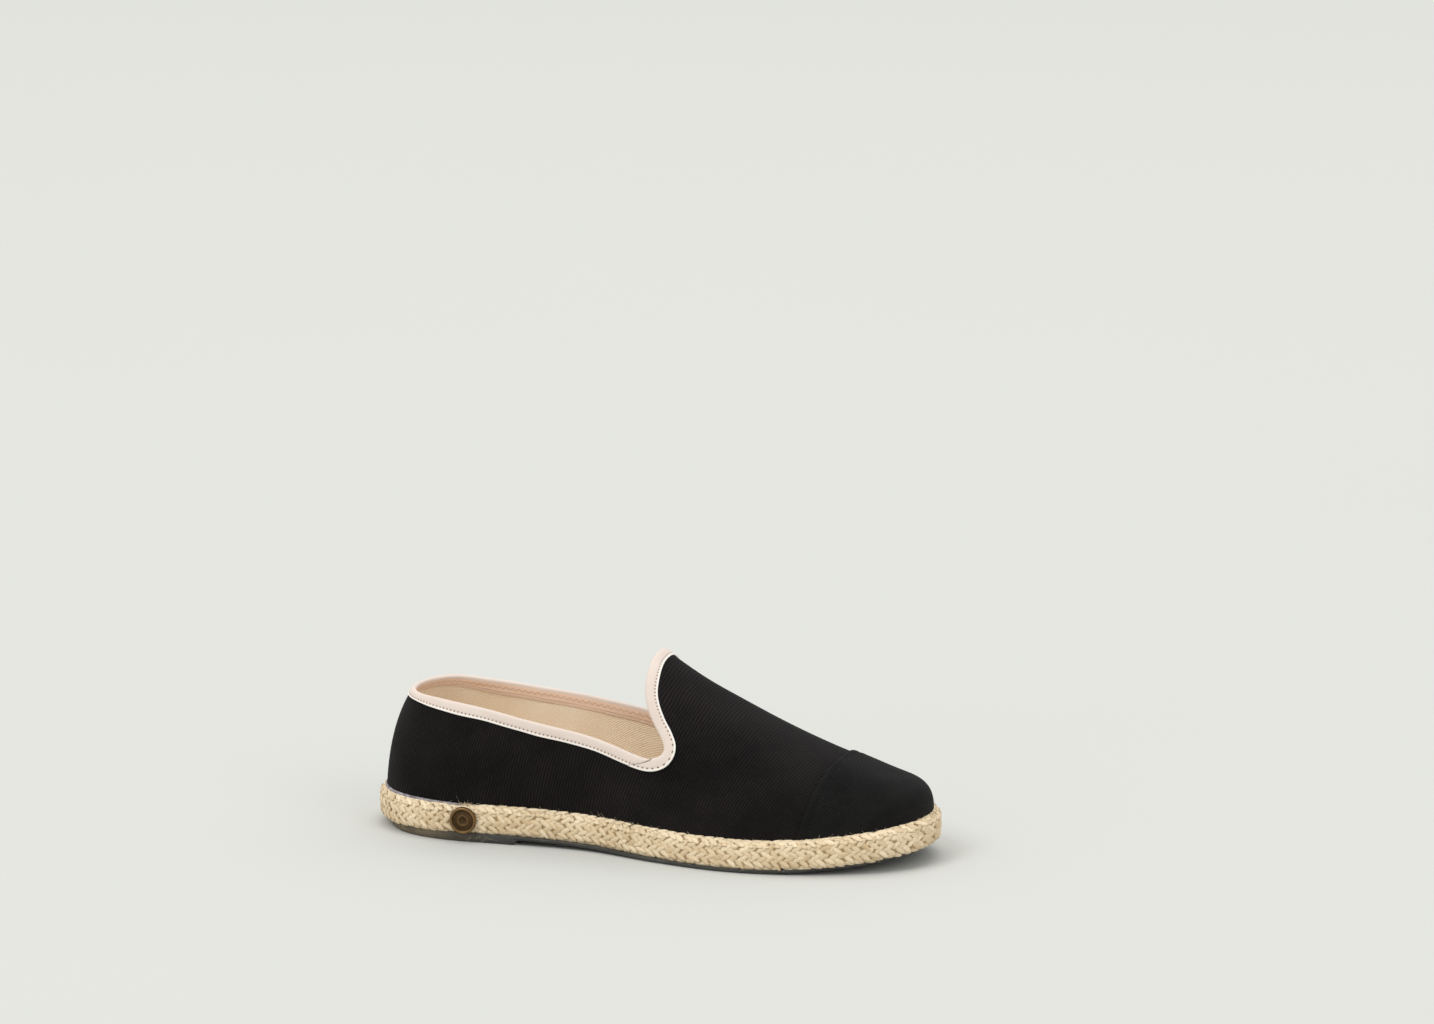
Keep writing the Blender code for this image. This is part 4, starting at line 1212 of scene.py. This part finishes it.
# %% Rubber outsole
rubber, shader = new_material("ground_black_rubber", 0.62)
shader.inputs["IOR"].default_value = 1.52
spot = add_node(rubber, "TexCoord", out=3)
grit = add_node(rubber, "TexNoise", {"Vector": spot, "Scale": 2600.0, "Detail": 3.0})
dust = add_node(rubber, "TexNoise", {"Vector": spot, "Scale": 130.0, "Detail": 6.0, "Roughness": 0.7})
streak = add_node(rubber, "Mapping", {0: spot, 3: (60.0, 60.0, 900.0)})
streak = add_node(rubber, "TexNoise", {"Vector": streak, "Scale": 1.0, "Detail": 3.0})
shade = add_node(rubber, "Math", {0: dust, 1: streak}, operation="MULTIPLY")
shade = add_node(rubber, "MapRange", {0: shade, 1: 0.12, 2: 0.45, 3: 0.0, 4: 1.0})
colour = add_node(
    rubber, "Mix", {0: shade, 6: linear("#262625"), 7: linear("#53524c")}, out=2, data_type="RGBA"
)
along = add_node(rubber, "SeparateXYZ", {0: spot})
heel_dust = add_node(rubber, "MapRange", {0: along, 1: -0.128, 2: -0.070, 3: 0.95, 4: 0.0})
heel_dust = add_node(rubber, "Math", {0: heel_dust, 1: dust}, operation="MULTIPLY")
colour = add_node(
    rubber, "Mix", {0: heel_dust, 6: colour, 7: linear("#8d7853")}, out=2, data_type="RGBA"
)
finish_material(rubber, shader, colour, grit, depth=0.0001, strength=0.3)
breast = turn_of(HEEL_BREAST + BREAST_RUN * np.linspace(-0.1, 1.1, 9))
rubber_turns = np.union1d(SOLE_STATIONS, breast)
mesh = slab(
    RUBBER_WALL,
    rubber_bottom,
    lambda x: jute_bottom(x) - SEAT / 2,
    lambda turn: through(column(RUBBER_INSET, "along"), column(RUBBER_INSET, "inset"), along_of(turn)),
    rubber_turns,
)
new_piece("rubber_outsole", mesh, rubber, "rubber", "outsole")

# %% [markdown]
# ## Braided jute
# The sole is a plait of jute yarn wound flat. Seen from the side, it is rows of short leaf-shaped bulges
# that lean one way and then the other. Each bulge is a small sphere with few faces, stretched along its
# yarn, and turned so that one end dives under its neighbour. A plain slab behind them, coloured a darker
# brown than the yarn, is the painted shade in the gaps. A seeded random number shifts each one a little and
# tints it. A bulge is drawn darker round its outline, a painted shade where the strand turns under. An
# attribute, 0 in its middle and 1 round its outline, says where that is.

# %% Jute yarn
jute, shader = new_material("dry_jute_yarn", 0.88, sheen=0.15)
shader.inputs["Specular IOR Level"].default_value = 0.3
yarn_map = add_node(jute, "UVMap", uv_map="yarn")
tint = add_node(jute, "Attribute", out=2, attribute_name="tint")
stretched = add_node(jute, "VectorMath", {0: yarn_map, 1: (26.0, 2.2, 1.0)}, operation="MULTIPLY")
tint_shift = add_node(jute, "Math", {0: tint, 1: 40.0}, operation="MULTIPLY")
fibres = add_node(
    jute,
    "TexNoise",
    {"Vector": stretched, "W": tint_shift, "Scale": 1.0, "Detail": 3.0, "Roughness": 0.6},
    noise_dimensions="4D",
)
spot = add_node(jute, "TexCoord", out=3)
patches = add_node(jute, "TexNoise", {"Vector": spot, "Scale": 55.0, "Detail": 3.0})
shade = add_node(jute, "Math", {0: fibres, 1: 0.9}, operation="MULTIPLY")
shade = add_node(jute, "Math", {0: tint, 1: 0.45, 2: shade}, operation="MULTIPLY_ADD")
shade = add_node(jute, "Math", {0: patches, 1: 0.45, 2: shade}, operation="MULTIPLY_ADD")
shade = add_node(jute, "MapRange", {0: shade, 1: 0.44, 2: 1.17, 3: 0.0, 4: 1.0})
colour = add_node(
    jute, "Mix", {0: shade, 6: linear("#bd9c6c"), 7: linear("#fbe8c6")}, out=2, data_type="RGBA"
)
# Painted shade: each bulge is drawn darker round its outline, where the strand turns under.
strand_edge_shade = add_node(jute, "Attribute", out=2, attribute_name="strand_edge_shade")
strand_edge_shade = add_node(jute, "MapRange", {0: strand_edge_shade, 1: 0.72, 2: 1.0, 3: 0.0, 4: 0.55})
colour = add_node(
    jute, "Mix", {0: strand_edge_shade, 6: colour, 7: linear("#86693f")}, out=2, data_type="RGBA"
)
finish_material(jute, shader, colour, fibres, depth=0.0004, strength=0.6)
print("yarn:", jute.name)

# %% Jute core
CORE_INSET = 0.5 * MM
CORE_BELOW_TOP = 0.3 * MM
# The core's darker browns are painted shade in the gaps between the bulges, over the jute behind them.
gap, shader = new_material("shaded_jute_core", 0.95)
spot = add_node(gap, "TexCoord", out=3)
fuzz = add_node(gap, "TexNoise", {"Vector": spot, "Scale": 900.0, "Detail": 4.0, "Roughness": 0.7})
colour = add_node(
    gap, "Mix", {0: fuzz, 6: linear("#93774c"), 7: linear("#c6a978")}, out=2, data_type="RGBA"
)
finish_material(gap, shader, colour, fuzz, depth=0.0005, strength=0.8)
mesh = slab(
    JUTE_WALL,
    lambda x: jute_bottom(x) + SEAT / 2,
    lambda x: jute_top(x) - CORE_BELOW_TOP,
    lambda turn: np.full_like(turn, CORE_INSET),
    SOLE_STATIONS,
)
new_piece("jute_core", mesh, gap, "braided_jute", "jute_sole")

# %% Rows of yarn
# Each row: its height on the wall as a share, how far its bulges lean, their spacing in mm, and how much
# lighter its bulges are drawn, most on the top rows.
YARN_LENGTH = 7.4 * MM
YARN_WIDTH = 2.95 * MM
YARN_DEPTH = 1.35 * MM
YarnRow = namedtuple("YarnRow", "up lean pitch tone")
YARN_ROWS = [
    YarnRow(0.03, -10, 4.9, 0.0),
    YarnRow(0.18, -33, 4.3, 0.0),
    YarnRow(0.35, 33, 4.3, 0.0),
    YarnRow(0.52, -33, 4.3, 0.0),
    YarnRow(0.69, 33, 4.3, 0.05),
    YarnRow(0.84, -28, 4.3, 0.15),
    YarnRow(0.98, 9, 4.9, 0.35),
]
one_bulge = bmesh.new()
one_bulge.loops.layers.uv.new("yarn")
one_bulge.verts.layers.float.new("tint")
bmesh.ops.create_uvsphere(one_bulge, u_segments=8, v_segments=5, radius=0.5, calc_uvs=True)
bmesh.ops.recalc_face_normals(one_bulge, faces=one_bulge.faces)
bulge_data = bpy.data.meshes.new("one_bulge")
one_bulge.to_mesh(bulge_data)
one_bulge.free()
print("faces in one bulge:", len(bulge_data.polygons))

# %% The wall that the yarn lies on
BULGE_SUNK = 0.55 * MM
wall_inset = column(JUTE_WALL, "inset")[1:] + BULGE_SUNK
wall_height = column(JUTE_WALL, "height")[1:] * JUTE_HEIGHT
wall_run = lengths_along(np.stack([wall_inset, wall_height], axis=1))
fine_turns = np.linspace(-np.pi, np.pi, 2000)
fine_x, fine_y = outline(fine_turns)
fine_run = lengths_along(np.stack([fine_x, fine_y], axis=1))


def wall_frame(run, up):
    """Place on the jute's wall, and there the directions along it, up it and out of it."""
    turn = np.interp(run % fine_run[-1], fine_run, fine_turns)
    inset = np.interp(up, wall_run, wall_inset)
    x, y = outline(turn, inset)
    out_x, out_y = outline(turn, inset - 1.0)
    plan_out = Vector((out_x - x, out_y - y, 0.0))
    back = np.interp(up + MM, wall_run, wall_inset) - np.interp(up - MM, wall_run, wall_inset)
    rise = np.interp(up + MM, wall_run, wall_height) - np.interp(up - MM, wall_run, wall_height)
    slope = Vector((-back, rise)).normalized()
    up_wall = plan_out * slope[0] + Vector((0, 0, slope[1]))
    outward = plan_out * slope[1] - Vector((0, 0, slope[0]))
    level = Vector((0, 0, 1)).cross(plan_out)
    place = Vector((x, y, jute_bottom(x) + np.interp(up, wall_run, wall_height)))
    return place, level, up_wall, outward


print("round the sole, mm:", round(float(fine_run[-1]) / MM, 1))

# %% [markdown]
# Hand-laid yarn is never even, so its place, lean, length and tint each get a small random share. At the
# rivet the yarn is pressed in, and there the bulges sit a little deeper.

# %% Lay the yarn
RIVET_ALONG = 0.193
PRESSED_REACH = 7.0 * MM
PRESSED_DEPTH = 0.45 * MM
random = np.random.default_rng(11)
yarn_frames = []
yarn_tones = []
rivet_place = np.interp(-turn_of(RIVET_ALONG), fine_turns, fine_run)
for index_row, row in enumerate(YARN_ROWS):
    count = int(round(fine_run[-1] / (row.pitch * MM)))
    for index in range(count):
        run = (index + 0.5 * (index_row % 2) + random.normal(0, 0.11)) / count * fine_run[-1]
        up = wall_run[-1] * row.up + random.normal(0, 0.20) * MM
        place, level, up_wall, outward = wall_frame(run, up)
        if abs(run - rivet_place) < PRESSED_REACH:
            place = place - outward * PRESSED_DEPTH
        angle = np.radians(row.lean) + random.normal(0, 0.13)
        axis = (level * np.cos(angle) + up_wall * np.sin(angle) + outward * 0.07).normalized()
        wide = axis.cross(outward).normalized()
        thick = wide.cross(axis)
        reach = YARN_LENGTH * (1 + random.normal(0, 0.07))
        turned = Matrix((wide * YARN_WIDTH, thick * YARN_DEPTH, axis * reach)).transposed().to_4x4()
        yarn_frames.append(Matrix.Translation(place) @ turned)
        yarn_tones.append(float(np.clip(random.normal(0.5, 0.2) + row.tone, 0, 1)))

mesh = bmesh.new()
for _ in yarn_frames:
    mesh.from_mesh(bulge_data)
tint_layer = mesh.verts.layers.float["tint"]
# 0 in the middle of each bulge and 1 round its outline, where its painted shade goes.
edge_layer = mesh.verts.layers.float.new("strand_edge_shade")
bulge_points = len(bulge_data.vertices)
for index, vertex in enumerate(mesh.verts):
    vertex[edge_layer] = 2 * np.hypot(vertex.co.x, vertex.co.z)
    vertex.co = yarn_frames[index // bulge_points] @ vertex.co
    vertex[tint_layer] = yarn_tones[index // bulge_points]
bmesh.ops.recalc_face_normals(mesh, faces=mesh.faces)
new_piece("jute_plait", mesh, jute, "braided_jute", "jute_sole")
bpy.data.meshes.remove(bulge_data)
print("yarn bulges:", len(yarn_frames))

# %% [markdown]
# Loose fibres stand out of the jute along its upper edge, lie on the wall, and hang at the rivet where the
# plait's ends meet. One three-sided needle with a few rings is copied, and each copy is bent along its own
# curve. A real fibre is about 0.06 mm thick; they are drawn at 0.10 to 0.18 mm, so that the render shows a
# soft fuzz.

# %% One fibre
Hair = namedtuple("Hair", "start heading bend length radius")
one_hair = bmesh.new()
bmesh.ops.create_cone(one_hair, cap_ends=True, segments=3, radius1=1.0, radius2=0.3, depth=1.0)
upright = [edge for edge in one_hair.edges if abs(edge.verts[0].co.z - edge.verts[1].co.z) > 0.5]
bmesh.ops.subdivide_edges(one_hair, edges=upright, cuts=4)
bmesh.ops.recalc_face_normals(one_hair, faces=one_hair.faces)
hair_data = bpy.data.meshes.new("one_hair")
one_hair.to_mesh(hair_data)
one_hair.free()
print("faces in one fibre:", len(hair_data.polygons))

# %% Where fibres grow
hair_random = np.random.default_rng(5)


def some_hairs(count, runs, ups, headings, lengths, spread):
    """Random hairs on the wall; headings are shares of along, up and out of the wall."""
    found = []
    for _ in range(count):
        run = hair_random.uniform(*runs)
        place, level, up_wall, outward = wall_frame(run, wall_run[-1] * hair_random.uniform(*ups))
        along, up, out = np.array(headings) + hair_random.normal(0, spread, 3)
        along = along * hair_random.choice((-1, 1))
        heading = (level * along + up_wall * up + outward * max(out, 0.05)).normalized()
        bend = Vector(hair_random.normal(0, 0.35, 3)) - outward * 0.25
        length = hair_random.uniform(*lengths) * MM
        start = place + outward * 0.35 * MM
        found.append(Hair(start, heading, bend, length, hair_random.uniform(0.05, 0.09) * MM))
    return found


whole = (0.0, fine_run[-1])
at_rivet = (rivet_place - 3 * MM, rivet_place + 3 * MM)
strays = (rivet_place - 16 * MM, rivet_place - 4 * MM)
# Upper edge, wall, lower edge, above and below the rivet, and a few long strays beside it.
Growth = namedtuple("Growth", "count runs ups headings lengths spread")
GROWTHS = [
    Growth(900, whole, (0.93, 1.0), (1.0, 0.40, 0.30), (1.2, 3.6), 0.30),
    Growth(260, whole, (0.05, 0.9), (1.0, 0.2, 0.12), (2.0, 5.0), 0.30),
    Growth(150, whole, (0.0, 0.06), (1.0, -0.5, 0.25), (1.5, 4.0), 0.30),
    Growth(46, at_rivet, (0.93, 1.0), (0.25, 1.0, 0.25), (1.5, 3.6), 0.30),
    Growth(30, at_rivet, (0.0, 0.05), (0.5, -1.0, 0.30), (1.5, 4.0), 0.30),
    Growth(9, strays, (0.0, 0.04), (1.0, -0.35, 0.40), (8.0, 15.0), 0.12),
]
hairs = [hair for growth in GROWTHS for hair in some_hairs(*growth)]
print("loose fibres:", len(hairs))

# %% Bend the fibres
ABOVE_FLOOR = 0.3 * MM
mesh = bmesh.new()
for _ in hairs:
    mesh.from_mesh(hair_data)
hair_points = len(hair_data.vertices)
for index, vertex in enumerate(mesh.verts):
    hair = hairs[index // hair_points]
    share = vertex.co.z + 0.5
    side = hair.heading.orthogonal().normalized()
    other = hair.heading.cross(side)
    across = (side * vertex.co.x + other * vertex.co.y) * hair.radius
    curve = hair.heading * share + hair.bend * share * share * 0.6
    vertex.co = hair.start + curve * hair.length + across
    vertex.co.z = max(vertex.co.z, ABOVE_FLOOR)
bmesh.ops.recalc_face_normals(mesh, faces=mesh.faces)
fibre, shader = new_material("loose_jute_fibre", 0.8)
spot = add_node(fibre, "TexCoord", out=3)
tone = add_node(fibre, "TexNoise", {"Vector": spot, "Scale": 300.0, "Detail": 2.0})
colour = add_node(
    fibre, "Mix", {0: tone, 6: linear("#d2ba90"), 7: linear("#fff3dc")}, out=2, data_type="RGBA"
)
finish_material(fibre, shader, colour)
new_piece("jute_fuzz", mesh, fibre, "braided_jute")
bpy.data.meshes.remove(hair_data)

# %% [markdown]
# ## Board edge at the heel
# Between canvas and jute, a thin lavender-grey edge of the inner sole board shows round the heel and runs
# out near the rivet. A closed strip follows the form there and gets lower toward both ends.

# %% Heel strip
STRIP_END = 0.190
STRIP_LOWEST = 0.30 * MM
STRIP_TALLER = 1.35 * MM
strip_turns = np.linspace(-turn_of(STRIP_END), turn_of(STRIP_END), 90)
fading = np.sqrt(np.clip(1 - (along_of(strip_turns) / STRIP_END) ** 1.6, 0, 1))
strip_height = STRIP_LOWEST + STRIP_TALLER * fading
StripRow = namedtuple("StripRow", "share out")
STRIP_SECTION = [
    StripRow(0.00, 0.05),
    StripRow(0.00, 0.75),
    StripRow(0.35, 0.88),
    StripRow(0.75, 0.80),
    StripRow(1.00, 0.50),
    StripRow(1.00, 0.05),
    StripRow(0.50, 0.03),
    StripRow(0.00, 0.05),
]
places = []
for share, out in STRIP_SECTION:
    base = skin(strip_turns, np.full_like(strip_turns, 0.004), out * MM)
    base[:, 2] = jute_top(base[:, 0]) - 0.1 * MM + share * strip_height
    places.append(base)
places = np.stack(places, axis=1)
around = lengths_along(places[:, 2])
across = np.arange(len(STRIP_SECTION)) * MM
mesh = lay_grid(places, np.stack(np.meshgrid(around, across, indexing="ij"), axis=-1))
close_tube(mesh)
board, shader = new_material("lavender_grey_fibre_board", 0.9)
spot = add_node(board, "TexCoord", out=3)
tone = add_node(board, "TexNoise", {"Vector": spot, "Scale": 500.0, "Detail": 4.0, "Roughness": 0.7})
tone = add_node(board, "MapRange", {0: tone, 1: 0.3, 2: 0.7, 3: 0.0, 4: 1.0})
colour = add_node(
    board, "Mix", {0: tone, 6: linear("#58525a"), 7: linear("#b7b0b6")}, out=2, data_type="RGBA"
)
finish_material(board, shader, colour, tone, depth=0.0002, strength=0.5)
new_piece("heel_board_edge", mesh, board, "insole_cloth")

# %% [markdown]
# ## Rivet
# One small brass rivet holds the ends of the plait on the outer side. It is a turned head: a few points of
# its profile are spun round its axis. The mark on the real one is left off, and a plain ring and a dimple
# take its place. The metal is old brass gone brown, a little brighter on the ring where it is rubbed. It is
# made 7 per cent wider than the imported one, as wide as it looks in the photograph.

# %% Aged brass
aged_brass, shader = new_material("aged_brass", 0.42, metallic=1.0)
spot = add_node(aged_brass, "TexCoord", out=3)
tarnish = add_node(aged_brass, "TexNoise", {"Vector": spot, "Scale": 420.0, "Detail": 4.0})
scratch = add_node(aged_brass, "TexNoise", {"Vector": spot, "Scale": 2400.0, "Detail": 2.0})
level_tone = add_node(aged_brass, "Attribute", out=2, attribute_name="rubbed")
shade = add_node(aged_brass, "Math", {0: tarnish, 1: 0.35, 2: level_tone}, operation="MULTIPLY_ADD")
colour = add_node(
    aged_brass, "Mix", {0: shade, 6: linear("#32261a"), 7: linear("#846845")}, out=2, data_type="RGBA"
)
finish_material(aged_brass, shader, colour, scratch, depth=0.00005, strength=0.4)
print("metal:", aged_brass.name)

# %% Turned head
RIVET_DIAMETER = 0.0122
RIVET_THICKNESS = 0.0023
RIVET_WIDER = 1.07
Turned = namedtuple("Turned", "across out rubbed")
RIVET_HEAD = [
    Turned(0.00, 0.00, 0.0),
    Turned(0.94, 0.00, 0.0),
    Turned(0.99, 0.20, 0.2),
    Turned(1.00, 0.45, 0.5),
    Turned(0.98, 0.75, 0.9),
    Turned(0.94, 0.94, 1.0),
    Turned(0.88, 1.00, 1.0),
    Turned(0.82, 0.95, 0.7),
    Turned(0.78, 0.80, 0.2),
    Turned(0.75, 0.62, 0.0),
    Turned(0.71, 0.56, 0.0),
    Turned(0.66, 0.62, 0.1),
    Turned(0.44, 0.66, 0.1),
    Turned(0.40, 0.74, 0.5),
    Turned(0.34, 0.76, 0.5),
    Turned(0.30, 0.68, 0.1),
    Turned(0.20, 0.56, 0.0),
    Turned(0.00, 0.50, 0.1),
]
radius = RIVET_WIDER * RIVET_DIAMETER / 2
mesh = bmesh.new()
rubbed_layer = mesh.verts.layers.float.new("rubbed")
points = [mesh.verts.new((row.across * radius, 0.0, row.out * RIVET_THICKNESS)) for row in RIVET_HEAD]
for vertex, row in zip(points, RIVET_HEAD):
    vertex[rubbed_layer] = row.rubbed
edges = [mesh.edges.new(pair) for pair in zip(points[:-1], points[1:])]
bmesh.ops.spin(
    mesh,
    geom=points + edges,
    cent=(0, 0, 0),
    axis=(0, 0, 1),
    angle=2 * np.pi,
    steps=56,
    use_merge=True,
)
close_seams(mesh)
print("rivet, mm across:", round(2 * radius / MM, 1))

# %% Set the rivet
turn = -turn_of(RIVET_ALONG)
x, y = outline(turn)
out_x, out_y = outline(turn, -1.0)
facing = Vector((out_x - x, out_y - y, 0.0))
level = Vector((0, 0, 1)).cross(facing)
z = (jute_bottom(x) + jute_top(x)) / 2
place = Vector((x, y, z)) + facing * SEAT
to_wall = Matrix([[level[k], (0, 0, 1)[k], facing[k], place[k]] for k in range(3)] + [[0, 0, 0, 1]])
bmesh.ops.transform(mesh, matrix=to_wall, verts=mesh.verts)
bmesh.ops.recalc_face_normals(mesh, faces=mesh.faces)
new_piece("brass_rivet", mesh, aged_brass, "aged_brass", "rivet")

# %% [markdown]
# ## Insole
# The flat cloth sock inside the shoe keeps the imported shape, which is right as it is. Only its finish is
# new: the same beige twill as the lining. Its mesh has no UV map of ours, so the lines are drawn on Object
# coordinates.

# %% Insole cloth
sock, shader = new_material("insole_twill", 0.92, sheen=0.1)
spot = add_node(sock, "TexCoord", out=3)
diagonal = add_node(sock, "Mapping", {0: spot, 2: (0.0, 0.0, 0.7)})
lines = add_node(
    sock,
    "TexWave",
    {"Vector": diagonal, "Scale": 210.0, "Distortion": 0.6, "Detail": 2.0, "Detail Scale": 1.5},
)
yarn = add_node(sock, "TexNoise", {"Vector": spot, "Scale": 1400.0, "Detail": 3.0})
worn = add_node(sock, "TexNoise", {"Vector": spot, "Scale": 26.0, "Detail": 4.0})
shade = add_node(sock, "Math", {0: lines, 1: 0.35, 2: yarn}, operation="MULTIPLY_ADD")
shade = add_node(sock, "Math", {0: worn, 1: 0.5, 2: shade}, operation="MULTIPLY_ADD")
shade = add_node(sock, "MapRange", {0: shade, 1: 0.55, 2: 1.20, 3: 0.0, 4: 1.0})
colour = add_node(
    sock, "Mix", {0: shade, 6: linear("#cfb193"), 7: linear("#f6e4cd")}, out=2, data_type="RGBA"
)
finish_material(sock, shader, colour, lines, depth=0.0002, strength=0.4)
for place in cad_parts["insole"].material_slots:
    place.material = sock
print("insole:", sock.name)
